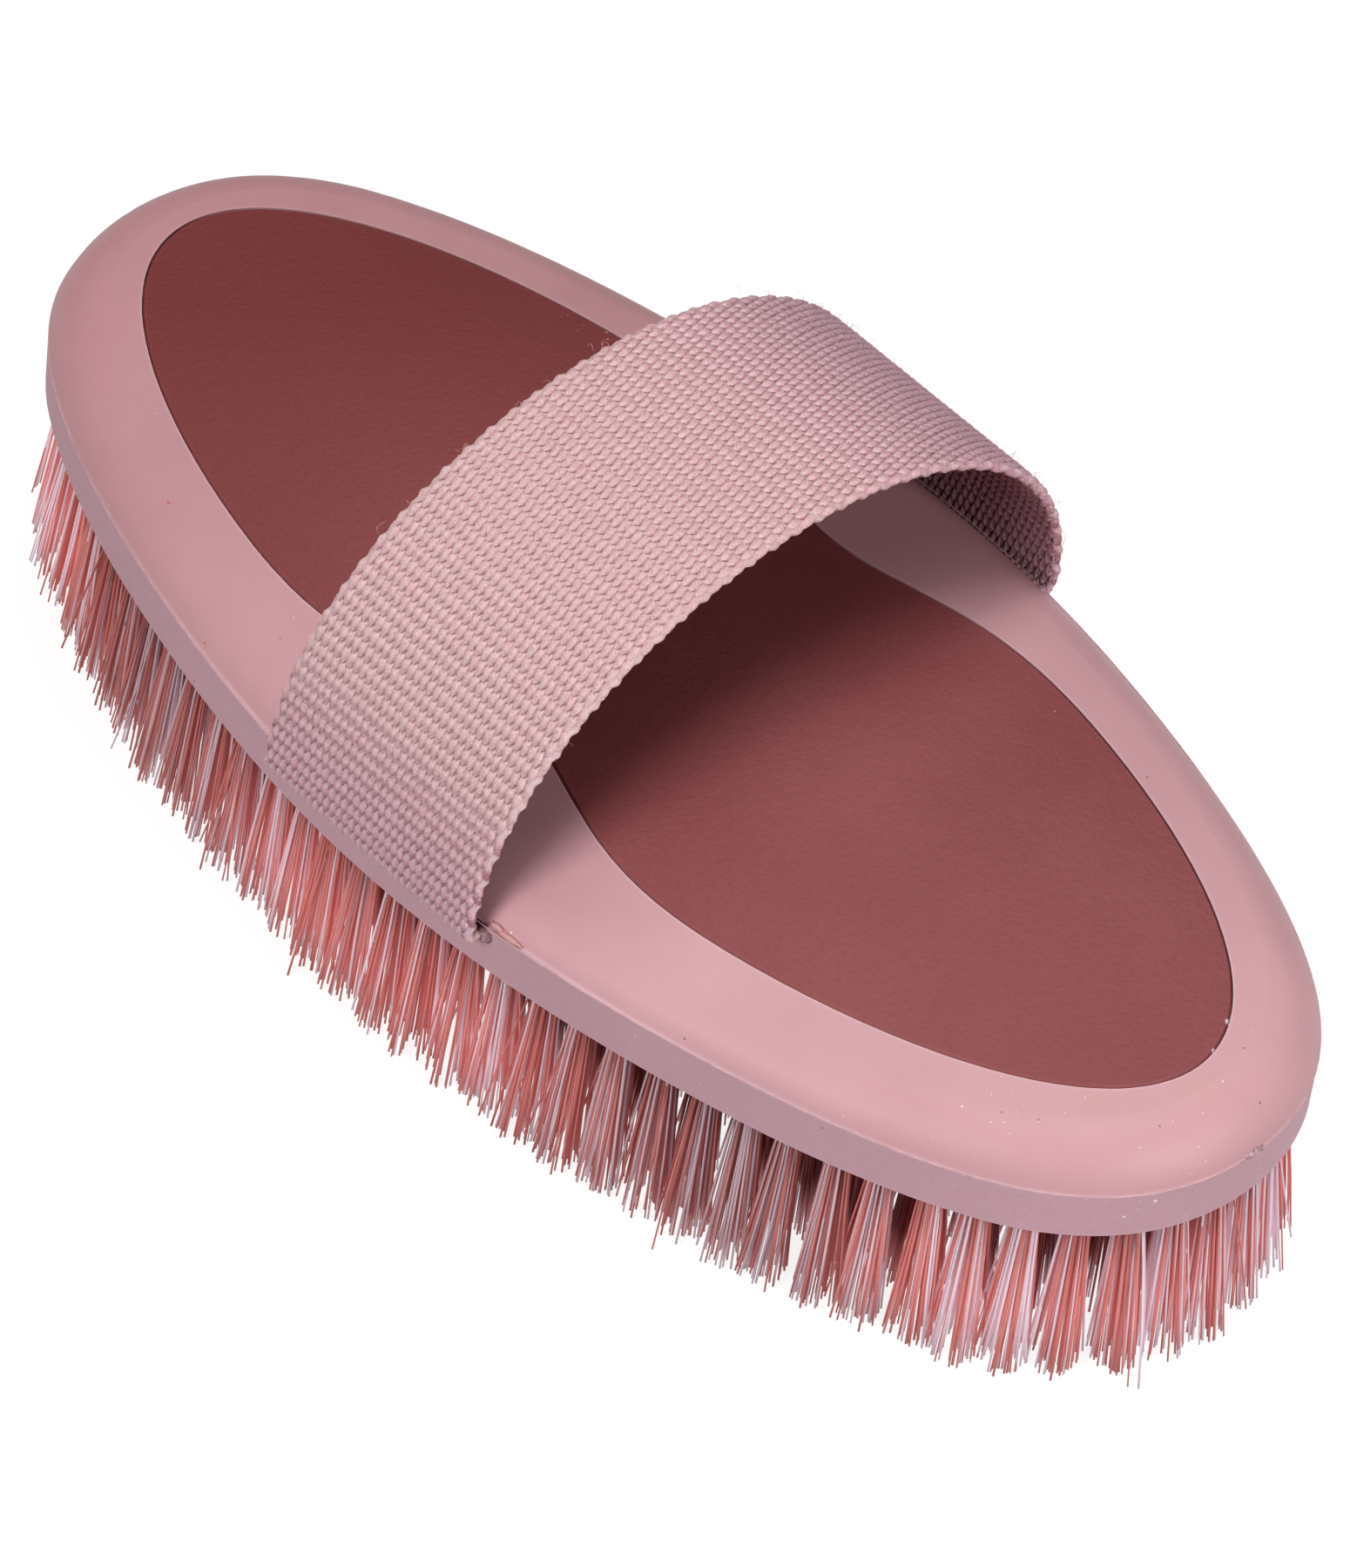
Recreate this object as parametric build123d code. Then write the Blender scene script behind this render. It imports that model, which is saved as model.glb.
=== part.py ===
from build123d import *
import math
import os

# Oval bristle body brush with a moulded back, an inlaid grip pad and a webbing hand strap.
# Millimetres. X is the long axis, Z is up, and the brush stands on its bristle tips at Z = 0.

# Driving dimensions of the oval body
BODY_LENGTH = 206.0
BODY_WIDTH = 97.0
OUTLINE_SWELL = 0.0094        # fullness of the oval's shoulders against a true ellipse
OUTLINE_POINTS = 16           # points that the tangent arcs of an oval's outline pass through
TANGENT_STEP = 1e-4           # in radians, either side of a point, for its tangent

# Bristle block
BRISTLE_LENGTH = 25.0         # free length, from the block's underside to the tips
BLOCK_THICKNESS = 7.5         # from the underside to the parting line
BLOCK_EDGE_BEVEL = 0.5
PEG_RADIUS = 2.5
PEG_HEIGHT = 4.5
PEG_PLACES = [(-72.0, 0.0), (72.0, 0.0), (-44.0, 20.0), (44.0, 20.0), (-44.0, -20.0), (44.0, -20.0)]

# Top cover
COVER_CROWN = 9.6             # crown above the parting line
CROWN_RADIUS_LONG = 1466.0    # crown's curve along the length
CROWN_RADIUS_CROSS = 158.0    # crown's curve across the width
CROWN_SPREAD = 1.5            # crown's surface against the body's size, so that it runs past the outline
SHOULDER_RADIUS = 8.4
COVER_WALL = 3.2              # under the crown
COVER_RIM = 5.0               # width of the rim that sits on the block
BOSS_WALL = 1.8
PIN_BOSS_WALL = 1.2
RIB_THICKNESS = 1.6
SPINE_RIB_LENGTH = 150.0
CROSS_RIB_PLACES = [-58.0, -30.0, 30.0, 58.0]
RIB_GAP = 0.4                 # between a rib's foot and the block

# Grip pad
PAD_LENGTH = 185.0
PAD_LOBE_WIDTH = 70.4         # width that the pad's ellipse would have with no waist
PAD_WAIST_DIP = 8.8           # how far each side is drawn in at the middle
PAD_WAIST_SPREAD = 20.0       # how far along the length the waist reaches
PAD_TIP_FADE = 4.0            # how sharply the waist's dip fades out at the pad's two tips
PAD_THICKNESS = 1.5
PAD_EDGE_BEVEL = 0.3
PAD_POINTS = 32

# Hand strap
STRAP_WIDTH = 38.0
STRAP_THICKNESS = 1.8
STRAP_RISE = 39.2             # strap's middle surface above the parting line, at the crown
STRAP_LEAN = 2.0              # how far the arch leans towards +Y
STRAP_FOLD_RADIUS = 1.5       # middle surface, where the strap turns up out of its slot
STRAP_TAIL = 21.0             # length held inside the body at each end
ARCH_SPANS = 3                # lengths that each side of the strap's arch is drawn in
PIN_RADIUS = 2.0
PIN_SPACING = 12.0
PIN_COUNT = 3
PIN_END_DISTANCE = 5.0        # from the strap's cut end to the line of pins

# Bristle tufts: inset of each oval ring from the block's edge, and how far its tips lean outwards
TUFT_RINGS = [(4.6, 2.2), (13.2, 1.2), (21.8, 0.7), (30.4, 0.4), (39.0, 0.2)]
EDGE_TUFT_PITCH = 6.15        # along the outer ring
INNER_TUFT_PITCH = 7.6        # along the other rings and the middle line
MIDDLE_LINE_LENGTH = 100.0
RING_SAMPLES = 720            # steps that a ring's length is measured in
TUFT_BANKS = 8                # groups that the tufts are gathered in, along the length
TUFT_SIDES = 4
TUFT_ROOT_RADIUS = 1.6        # at the block's underside
TUFT_TIP_RADIUS = 2.6
TUFT_HOLE_DEPTH = 4.4
ANCHOR_LENGTH = 2.0
ANCHOR_HEIGHT = 0.6
ANCHOR_THICKNESS = 0.4

# Clearances
FIT_GAP = 0.1                 # between moulded pieces that locate each other
PAD_GAP = 0.15                # around the pad, in its recess
STRAP_GAP = 0.2               # around the strap, in its slot
STRAP_FLOOR_GAP = 0.1         # under the strap, in its channel
STRAP_SIDE_GAP = 0.3          # between the body's side and the strap, where it turns up
TUFT_GAP = 0.1                # between a tuft and the anchor above it
HOLE_GAP = 0.2                # around a tuft, in its hole
CUT_OVERRUN = 1.0             # how far a cutter runs past the face that it cuts
LEVEL_TOLERANCE = 0.05        # for telling which edges lie on a level

# Levels that follow from them
BLOCK_BOTTOM = BRISTLE_LENGTH
SEAM = BLOCK_BOTTOM + BLOCK_THICKNESS
CROWN = SEAM + COVER_CROWN
STRAP_LEVEL = SEAM - STRAP_FOLD_RADIUS
CHANNEL_FLOOR = STRAP_LEVEL - STRAP_THICKNESS / 2 - STRAP_FLOOR_GAP
STRAP_TURN = BODY_WIDTH / 2 + STRAP_SIDE_GAP + STRAP_THICKNESS / 2 - STRAP_FOLD_RADIUS
STRAP_TAIL_END = STRAP_TURN - STRAP_TAIL
PIN_LINE = STRAP_TAIL_END + PIN_END_DISTANCE


def outline_point(angle, inset=0.0):
    """Point of an oval this far inside the body's outline, and the unit normal that points out of it."""
    semi_x = (BODY_LENGTH / 2 - inset) / (1 - OUTLINE_SWELL)
    semi_y = (BODY_WIDTH / 2 - inset) / (1 + OUTLINE_SWELL)
    reach = 1 - OUTLINE_SWELL * math.cos(6 * angle)
    slope = 6 * OUTLINE_SWELL * math.sin(6 * angle)
    x = semi_x * reach * math.cos(angle)
    y = semi_y * reach * math.sin(angle)
    dx = semi_x * (slope * math.cos(angle) - reach * math.sin(angle))
    dy = semi_y * (slope * math.sin(angle) + reach * math.cos(angle))
    return Vector(x, y), Vector(dy, -dx).normalized()


def outline_angles(count):
    return [2 * math.pi * step / count for step in range(count)]


def tangent_arcs(stations):
    """Pairs of arcs from each station to the next, where a station is a point and its tangent."""
    arcs = []
    for (start, leaving), (end, arriving) in zip(stations, stations[1:]):
        chord = end - start
        run = chord.dot(leaving + arriving)
        bend = 2 * (1 - leaving.dot(arriving))
        reach = (math.sqrt(run**2 + bend * chord.dot(chord)) - run) / bend
        joint = (start + end) / 2 + (leaving - arriving) * (reach / 2)
        arcs.append(TangentArc(start, joint, tangent=leaving))
        arcs.append(TangentArc(end, joint, tangent=-arriving))
    return arcs


def closed_face(point_at, count, level):
    """Level face bounded by tangent arcs through evenly stepped points of a closed curve."""
    lift = Vector(0, 0, level)
    stations = []
    for angle in outline_angles(count):
        tangent = point_at(angle + TANGENT_STEP) - point_at(angle - TANGENT_STEP)
        stations.append((point_at(angle) + lift, tangent.normalized()))
    return make_face(tangent_arcs(stations + stations[:1]))


def outline_face(inset, level):
    return closed_face(lambda angle: outline_point(angle, inset)[0], OUTLINE_POINTS, level)


def crown_solid(drop):
    """Tall solid whose top is the cover's doubly curved crown, lowered by drop."""
    cross = CROWN_RADIUS_CROSS - drop
    axis_level = CROWN - CROWN_RADIUS_LONG
    half = BODY_WIDTH * CROWN_SPREAD / 2
    edge_level = CROWN - CROWN_RADIUS_CROSS + math.sqrt(cross**2 - half**2)
    low = BLOCK_BOTTOM - COVER_CROWN
    top = ThreePointArc((-half, edge_level), (0, CROWN - drop), (half, edge_level))
    rest = Polyline((half, edge_level), (half, low), (-half, low), (-half, edge_level))
    section = make_face(Plane.YZ * (top + rest))
    swing = math.degrees(math.atan(BODY_LENGTH * CROWN_SPREAD / 2 / CROWN_RADIUS_LONG))
    axis = Axis((0, 0, axis_level), (0, 1, 0))
    return revolve(section.rotate(axis, -swing), axis=axis, revolution_arc=2 * swing)


def crown_level(point):
    """Level of the crown over a point."""
    cross = math.sqrt(CROWN_RADIUS_CROSS**2 - point.Y**2) - CROWN_RADIUS_CROSS
    along = math.sqrt((CROWN_RADIUS_LONG + cross) ** 2 - point.X**2)
    return CROWN - CROWN_RADIUS_LONG + along


def shoulder_point(angle):
    """Point of the outline that makes the rounded shoulder meet the block's edge at the parting line."""
    point, normal = outline_point(angle)
    centre = point - normal * SHOULDER_RADIUS
    fall = centre.X**2 / (2 * CROWN_RADIUS_LONG) + centre.Y**2 / (2 * CROWN_RADIUS_CROSS)
    depth = max(0.0, SHOULDER_RADIUS - COVER_CROWN + fall)
    overhang = SHOULDER_RADIUS - math.sqrt(SHOULDER_RADIUS**2 - depth**2)
    return point + normal * overhang


def is_on_crown(edge):
    return all(abs(end.Z - crown_level(end)) < LEVEL_TOLERANCE for end in (edge @ 0, edge @ 1))


def crown_edges(solid):
    return [edge for edge in solid.edges() if is_on_crown(edge)]


def cover_form():
    """The cover's outer form: a crowned dome with a rounded shoulder, closed at the parting line."""
    column = extrude(closed_face(shoulder_point, OUTLINE_POINTS, SEAM - SHOULDER_RADIUS), 3 * COVER_CROWN)
    form = column & crown_solid(0.0)
    form = fillet(crown_edges(form), SHOULDER_RADIUS)
    below = Pos(0, 0, SEAM) * Box(
        2 * BODY_LENGTH, 2 * BODY_WIDTH, 4 * COVER_CROWN, align=(Align.CENTER, Align.CENTER, Align.MAX)
    )
    return form - below


def pad_point(angle, inset):
    """Point of the waisted grip pad's outline, drawn in by inset."""
    x = (PAD_LENGTH / 2 - inset) * math.cos(angle)
    side = math.sin(angle)
    dip = PAD_WAIST_DIP * math.exp(-((x / PAD_WAIST_SPREAD) ** 2))
    y = (PAD_LOBE_WIDTH / 2 - inset) * side - math.copysign(dip, side) * min(1.0, PAD_TIP_FADE * abs(side))
    return Vector(x, y)


def pad_column(inset):
    face = closed_face(lambda angle: pad_point(angle, inset), PAD_POINTS, SEAM)
    return extrude(face, 2 * COVER_CROWN)


def strap_slot(top, gap):
    """Room for the strap's two tails, from the channel floor up to the given level."""
    length = STRAP_TURN + 2 * STRAP_FOLD_RADIUS - STRAP_TAIL_END + gap
    upright = (Align.CENTER, Align.MIN, Align.MIN)
    bar = Box(STRAP_WIDTH + 2 * gap, length, top - CHANNEL_FLOOR, align=upright)
    near = Pos(0, STRAP_TAIL_END - gap, CHANNEL_FLOOR) * bar
    return near + near.mirror(Plane.XZ)


def pin_places():
    first = -PIN_SPACING * (PIN_COUNT - 1) / 2
    return [(first + PIN_SPACING * step, side * PIN_LINE) for step in range(PIN_COUNT) for side in (-1, 1)]


def pillar(place, radius, low, high):
    return Pos(place[0], place[1], low) * Cylinder(
        radius, high - low, align=(Align.CENTER, Align.CENTER, Align.MIN)
    )


def ring_places(inset, pitch):
    """Points evenly spaced along an oval inside the block's outline, each with its outward normal."""
    samples = [outline_point(angle, inset) for angle in outline_angles(RING_SAMPLES)]
    steps = [(samples[step][0] - samples[step - 1][0]).length for step in range(RING_SAMPLES)]
    count = 2 * round(sum(steps) / pitch / 2)
    spacing = sum(steps) / count
    places = []
    travelled = 0.0
    for sample, step in zip(samples, steps):
        if travelled >= len(places) * spacing and len(places) < count:
            places.append(sample)
        travelled += step
    return places


def middle_line_places():
    count = round(MIDDLE_LINE_LENGTH / INNER_TUFT_PITCH) + 1
    start = -INNER_TUFT_PITCH * (count - 1) / 2
    return [(Vector(start + INNER_TUFT_PITCH * step, 0), Vector(0, 1)) for step in range(count)]


def tapered_prism(low, low_radius, high, high_radius, turn):
    """Prism with flat sides between two level polygons, which may be offset sideways."""
    rings = []
    for centre, radius in ((low, low_radius), (high, high_radius)):
        corners = []
        for side in range(TUFT_SIDES):
            angle = turn + 2 * math.pi * side / TUFT_SIDES
            corners.append(centre + Vector(radius * math.cos(angle), radius * math.sin(angle)))
        rings.append(corners)
    outlines = list(rings)
    for side in range(TUFT_SIDES):
        after = (side + 1) % TUFT_SIDES
        outlines.append([rings[0][side], rings[0][after], rings[1][after], rings[1][side]])
    faces = [Face(Wire.make_polygon(outline, close=True)) for outline in outlines]
    return Solid(Shell(faces))


def tuft_axis(place, normal, lean, level):
    """Centre of a leaning tuft at a level: on its place at the underside, leaned out at the tips."""
    share = (BLOCK_BOTTOM - level) / BRISTLE_LENGTH
    return Vector(place.X, place.Y, level) + normal * (lean * share)


def make_tuft(place, normal, lean):
    top = BLOCK_BOTTOM + TUFT_HOLE_DEPTH - ANCHOR_HEIGHT - TUFT_GAP
    taper = (TUFT_TIP_RADIUS - TUFT_ROOT_RADIUS) / BRISTLE_LENGTH
    top_radius = TUFT_ROOT_RADIUS - taper * (top - BLOCK_BOTTOM)
    tip = tuft_axis(place, normal, lean, 0.0)
    root = tuft_axis(place, normal, lean, top)
    return tapered_prism(tip, TUFT_TIP_RADIUS, root, top_radius, math.atan2(normal.Y, normal.X))


def make_hole(place, normal, lean):
    radius = TUFT_ROOT_RADIUS + HOLE_GAP
    below = tuft_axis(place, normal, lean, BLOCK_BOTTOM - CUT_OVERRUN)
    end = tuft_axis(place, normal, lean, BLOCK_BOTTOM + TUFT_HOLE_DEPTH)
    return tapered_prism(below, radius, end, radius, math.atan2(normal.Y, normal.X))


def make_anchor(place, normal, lean):
    centre = tuft_axis(place, normal, lean, BLOCK_BOTTOM + TUFT_HOLE_DEPTH - ANCHOR_HEIGHT / 2)
    turn = math.degrees(math.atan2(normal.Y, normal.X)) + 90
    return Location(centre) * Rot(0, 0, turn) * Box(ANCHOR_LENGTH, ANCHOR_THICKNESS, ANCHOR_HEIGHT)


def tuft_banks():
    """Every tuft as its place, normal and lean, gathered in banks from one end to the other."""
    tufts = [(place, normal, 0.0) for place, normal in middle_line_places()]
    for number, (inset, lean) in enumerate(TUFT_RINGS):
        pitch = INNER_TUFT_PITCH if number else EDGE_TUFT_PITCH
        tufts += [(place, normal, lean) for place, normal in ring_places(inset, pitch)]
    banks = [[] for _ in range(TUFT_BANKS)]
    for tuft in tufts:
        share = tuft[0].X / BODY_LENGTH + 0.5
        banks[int(share * TUFT_BANKS)].append(tuft)
    return banks


def make_block(banks):
    block = extrude(outline_face(0.0, BLOCK_BOTTOM), BLOCK_THICKNESS)
    lower_edge = [edge for edge in block.edges() if edge.bounding_box().max.Z < BLOCK_BOTTOM + LEVEL_TOLERANCE]
    block = chamfer(lower_edge, BLOCK_EDGE_BEVEL)
    block -= strap_slot(SEAM + CUT_OVERRUN, STRAP_GAP)
    for place in PEG_PLACES:
        block += pillar(place, PEG_RADIUS, SEAM, SEAM + PEG_HEIGHT)
    holes = [make_hole(*tuft) for bank in banks for tuft in bank]
    return block.cut(*holes)


def make_room():
    """Hollow of the cover, less its spine rib, cross ribs and bosses."""
    foot = SEAM + RIB_GAP
    upright = (Align.CENTER, Align.CENTER, Align.MIN)
    hollow = extrude(outline_face(COVER_RIM, SEAM - CUT_OVERRUN), 2 * COVER_CROWN)
    room = hollow & crown_solid(COVER_WALL)
    room -= Pos(0, 0, foot) * Box(SPINE_RIB_LENGTH, RIB_THICKNESS, COVER_CROWN, align=upright)
    for x in CROSS_RIB_PLACES:
        room -= Pos(x, 0, foot) * Box(RIB_THICKNESS, BODY_WIDTH, COVER_CROWN, align=upright)
    for place in PEG_PLACES:
        room -= pillar(place, PEG_RADIUS + FIT_GAP + BOSS_WALL, SEAM + FIT_GAP, CROWN)
    for place in pin_places():
        room -= pillar(place, PIN_RADIUS + PIN_BOSS_WALL, foot, CROWN)
    return room


def make_cover():
    cover = cover_form() - make_room()
    for place in PEG_PLACES:
        cover -= pillar(place, PEG_RADIUS + FIT_GAP, SEAM - CUT_OVERRUN, SEAM + PEG_HEIGHT + FIT_GAP)
    for place in pin_places():
        cover += pillar(place, PIN_RADIUS, CHANNEL_FLOOR + FIT_GAP, SEAM + RIB_GAP + PIN_BOSS_WALL)
    cover -= pad_column(-PAD_GAP) - crown_solid(PAD_THICKNESS)
    return cover


def make_pad():
    pad = (pad_column(0.0) & crown_solid(0.0)) - crown_solid(PAD_THICKNESS)
    return chamfer(crown_edges(pad), PAD_EDGE_BEVEL)


def arch_side(foot, direction, crown):
    """One side of the strap's leaning, elliptical arch, from its fold up to its crown, as tangent arcs."""
    reach = 4 / 3 * (math.sqrt(2) - 1)
    upper = Vector(crown.X - reach * (crown.X - foot.X), crown.Y)
    lower = foot + direction * (reach * (crown.Y - foot.Y) / direction.Y)
    curve = Bezier(foot, lower, upper, crown)
    steps = [step / ARCH_SPANS for step in range(ARCH_SPANS + 1)]
    return tangent_arcs([(curve @ step, curve % step) for step in steps])


def make_strap():
    """One length of webbing: tail, fold, arch, fold and tail, with punched pin holes."""
    tilt = math.degrees(math.atan2(STRAP_LEAN, STRAP_RISE))
    near_tail = Line((-STRAP_TAIL_END, STRAP_LEVEL), (-STRAP_TURN, STRAP_LEVEL))
    near_fold = JernArc(near_tail @ 1, (-1, 0), STRAP_FOLD_RADIUS, -(90 + tilt))
    far_tail = Line((STRAP_TAIL_END, STRAP_LEVEL), (STRAP_TURN, STRAP_LEVEL))
    far_fold = JernArc(far_tail @ 1, (1, 0), STRAP_FOLD_RADIUS, 90 - tilt)
    crown = Vector(STRAP_LEAN, SEAM + STRAP_RISE)
    near_arch = arch_side(near_fold @ 1, near_fold % 1, crown)
    far_arch = arch_side(far_fold @ 1, far_fold % 1, crown)
    centre_line = Curve() + [near_tail, near_fold, *near_arch, *far_arch, far_fold, far_tail]
    section = Plane.YZ * trace(centre_line, STRAP_THICKNESS)
    strap = extrude(section, STRAP_WIDTH / 2, both=True)
    for place in pin_places():
        strap -= pillar(place, PIN_RADIUS + STRAP_GAP, CHANNEL_FLOOR, SEAM)
    return strap


def save(name, shape):
    shape.label = name
    export_step(shape, f"parts/{name}.step")


os.makedirs("parts", exist_ok=True)
BANKS = tuft_banks()
save("bristle_block", make_block(BANKS))
save("top_cover", make_cover())
save("grip_pad", make_pad())
save("hand_strap", make_strap())
for number, bank in enumerate(BANKS, start=1):
    save(f"tufts_bank_{number}", Compound(children=[make_tuft(*tuft) for tuft in bank]))
    save(f"anchors_bank_{number}", Compound(children=[make_anchor(*tuft) for tuft in bank]))
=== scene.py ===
import math

import bpy
import numpy as np
from mathutils import Matrix, Vector


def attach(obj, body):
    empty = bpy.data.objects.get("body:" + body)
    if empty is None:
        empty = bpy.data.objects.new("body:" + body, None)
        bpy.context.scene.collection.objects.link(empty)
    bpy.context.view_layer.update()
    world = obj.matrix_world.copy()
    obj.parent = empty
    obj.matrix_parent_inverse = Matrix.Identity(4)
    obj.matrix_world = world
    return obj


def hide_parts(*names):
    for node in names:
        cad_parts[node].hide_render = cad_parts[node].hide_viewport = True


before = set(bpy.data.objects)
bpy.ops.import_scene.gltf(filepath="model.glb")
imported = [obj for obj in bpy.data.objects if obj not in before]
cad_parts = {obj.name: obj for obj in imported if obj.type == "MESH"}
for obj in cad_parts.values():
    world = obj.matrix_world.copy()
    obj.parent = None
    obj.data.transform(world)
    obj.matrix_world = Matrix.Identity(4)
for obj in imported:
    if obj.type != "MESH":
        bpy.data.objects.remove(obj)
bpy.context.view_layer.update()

bl_info = {
    "name": "Bristle Body Brush",
    "version": (1, 0, 0),
    "blender": (4, 5, 0),
    "location": "3D View > Sidebar > Brush",
    "description": "Dresses an oval body brush with tufted bristles and a webbing hand strap",
    "category": "Add Mesh",
}

MM = 0.001
WHITE = (1.0, 1.0, 1.0, 1.0)

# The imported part's own outline and levels, in millimetres
BODY_LENGTH = 206.0
BODY_WIDTH = 97.0
OUTLINE_SWELL = 0.0094        # fullness of the oval's shoulders against a true ellipse
SEAM = 32.5                   # level of the parting line between cover and block
STRAP_FACE = 37.4             # width between the selvedges, which the warp covers

# The strap's centre line, in millimetres
STRAP_THICKNESS = 1.8
STRAP_SIDE_GAP = 0.3          # between the body's side and the strap, where it turns up
STRAP_RISE = 39.2             # from the parting line up to the crown of the arch
STRAP_LEAN = 2.0              # how far the arch leans towards +Y
STRAP_FOLD_RADIUS = 1.5       # where the strap turns up out of its slot
STRAP_TAIL = 21.0             # length held inside the body at each end
STRAP_TURN = BODY_WIDTH / 2 + STRAP_SIDE_GAP + STRAP_THICKNESS / 2 - STRAP_FOLD_RADIUS  # fold's centre


def colour(red, green, blue):
    """A display colour, 0 to 255, as the linear colour that a shader takes."""
    linear = []
    for value in (red, green, blue):
        share = value / 255
        linear.append(share / 12.92 if share <= 0.04045 else ((share + 0.055) / 1.055) ** 2.4)
    return (*linear, 1.0)


# --- writing node trees as sums -------------------------------------------------------------


def plug(tree, target, value):
    """Links a field or socket to an input, or sets the input's own value."""
    if isinstance(value, Field):
        value = value.socket
    if isinstance(value, bpy.types.NodeSocket):
        tree.links.new(value, target)
    elif value is not None:
        target.default_value = value


def node(tree, kind, inputs=None, **settings):
    """Adds a node, sets its properties, then fills or links its inputs by name or number."""
    made = tree.nodes.new(kind)
    for name, value in settings.items():
        setattr(made, name, value)
    for name, value in (inputs or {}).items():
        plug(tree, made.inputs[name], value)
    return made


def field(tree, kind, out=0, inputs=None, **settings):
    """Adds a node and gives one of its outputs as a field."""
    return Field(tree, node(tree, kind, inputs, **settings).outputs[out])


class Field:
    """A node's output that adds and multiplies as a number does, through Math nodes in its tree."""

    def __init__(self, tree, socket):
        self.tree = tree
        self.socket = socket

    def math(self, operation, *others):
        """A Math node with this field and the others as its inputs."""
        inputs = dict(enumerate((self, *others)))
        return field(self.tree, "ShaderNodeMath", 0, inputs, operation=operation)

    def vector(self, operation, *others):
        """A Vector Math node with this field and the others as its inputs."""
        inputs = dict(enumerate((self, *others)))
        out = 1 if operation in ("DOT_PRODUCT", "DISTANCE") else 0
        return field(self.tree, "ShaderNodeVectorMath", out, inputs, operation=operation)

    def wide(self):
        """Whether the field holds a vector or a colour."""
        return self.socket.type in ("VECTOR", "RGBA")

    def sum(self, operation, other):
        """Adds or subtracts, through a Vector Math node where the field is wide."""
        return self.vector(operation, other) if self.wide() else self.math(operation, other)

    def __add__(self, other):
        return self.sum("ADD", other)

    def __sub__(self, other):
        return self.sum("SUBTRACT", other)

    def __rsub__(self, other):
        return self * -1.0 + other

    def __mul__(self, other):
        if not self.wide():
            return self.math("MULTIPLY", other)
        if isinstance(other, tuple) or (isinstance(other, Field) and other.wide()):
            return self.vector("MULTIPLY", other)
        inputs = {0: self, "Scale": other}
        return field(self.tree, "ShaderNodeVectorMath", 0, inputs, operation="SCALE")

    def __truediv__(self, other):
        return self.math("DIVIDE", other)

    def __pow__(self, power):
        return self.math("POWER", power)

    def __abs__(self):
        return self.math("ABSOLUTE")

    def clamp(self, low=0.0, high=1.0):
        """The field held between two values."""
        return self.math("MAXIMUM", low).math("MINIMUM", high)

    def part(self, axis):
        """One coordinate of a vector."""
        return field(self.tree, "ShaderNodeSeparateXYZ", "XYZ".index(axis), {0: self})

    def mix(self, other, share):
        """This field where share is 0 and the other where it is 1, for numbers and vectors."""
        step = self * -1.0 + other
        return self + step * share


def vector(tree, x, y, z):
    """A vector made of three numbers or fields."""
    return field(tree, "ShaderNodeCombineXYZ", 0, {0: x, 1: y, 2: z})


def object_place(tree):
    """Where a point of the surface is, in metres."""
    return field(tree, "ShaderNodeTexCoord", "Object")


def noise(tree, place, detail, scale=5.0, roughness=0.5, out=0):
    """Soft noise, as a number around 0.5 or, from output 1, as three of them."""
    inputs = {"Vector": place, "Detail": detail, "Scale": scale, "Roughness": roughness}
    return field(tree, "ShaderNodeTexNoise", out, inputs)


def chance(tree, low, high, seed):
    """A random number for each element, the same at every run."""
    return field(tree, "FunctionNodeRandomValue", 1, {2: low, 3: high, "Seed": seed})


def chances(tree, seed):
    """A function that draws independent random numbers, each with a number of its own."""
    def draw(low, high, number):
        return chance(tree, low, high, seed + float(number))

    return draw


def attribute(tree, name):
    """A number stored on the mesh, read in a material."""
    return field(tree, "ShaderNodeAttribute", "Fac", attribute_name=name)


def named(tree, name, kind="FLOAT"):
    """A stored number or vector, read in a geometry tree."""
    return field(tree, "GeometryNodeInputNamedAttribute", 0, {"Name": name}, data_type=kind)


def keep(tree, geometry, name, value, kind="FLOAT"):
    """Stores a field on a geometry's points under a name."""
    inputs = {"Geometry": geometry, "Name": name, "Value": value}
    return field(tree, "GeometryNodeStoreNamedAttribute", 0, inputs, data_type=kind, domain="POINT")


def geometry_tree(name, **inputs):
    """A Geometry Nodes tree with a geometry in and out, a material, and inputs (socket kind, default)."""
    tree = bpy.data.node_groups.new(name, "GeometryNodeTree")
    tree.interface.new_socket("Geometry", in_out="INPUT", socket_type="NodeSocketGeometry")
    tree.interface.new_socket("Geometry", in_out="OUTPUT", socket_type="NodeSocketGeometry")
    for label, (kind, default) in {**inputs, "Material": ("Material", None)}.items():
        made = tree.interface.new_socket(
            label.replace("_", " "), in_out="INPUT", socket_type="NodeSocket" + kind
        )
        if default is not None:
            made.default_value = default
    entry = tree.nodes.new("NodeGroupInput")
    return tree, [Field(tree, socket) for socket in entry.outputs if socket.name]


def stick(tree, sides, stretches):
    """A round bar along Z, 1 m long and 1 m in radius, for a tree to bend into a yarn or a filament."""
    inputs = {"Vertices": sides, "Side Segments": stretches, "Radius": 1.0, "Depth": 1.0}
    return field(tree, "GeometryNodeMeshCylinder", "Mesh", inputs, fill_type="NGON")


def copies(tree, shape, points):
    """One mesh of a shape's copies on points, with each corner's place in the shape as "local"."""
    shape = keep(tree, shape, "local", field(tree, "GeometryNodeInputPosition"), "FLOAT_VECTOR")
    placed = field(tree, "GeometryNodeInstanceOnPoints", 0, {"Points": points, "Instance": shape})
    solid = field(tree, "GeometryNodeRealizeInstances", 0, {0: placed})
    return solid, named(tree, "local", "FLOAT_VECTOR")


def move_to(tree, solid, target):
    """Moves each corner of a mesh to its own target."""
    return field(tree, "GeometryNodeSetPosition", 0, {"Geometry": solid, "Position": target})


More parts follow.
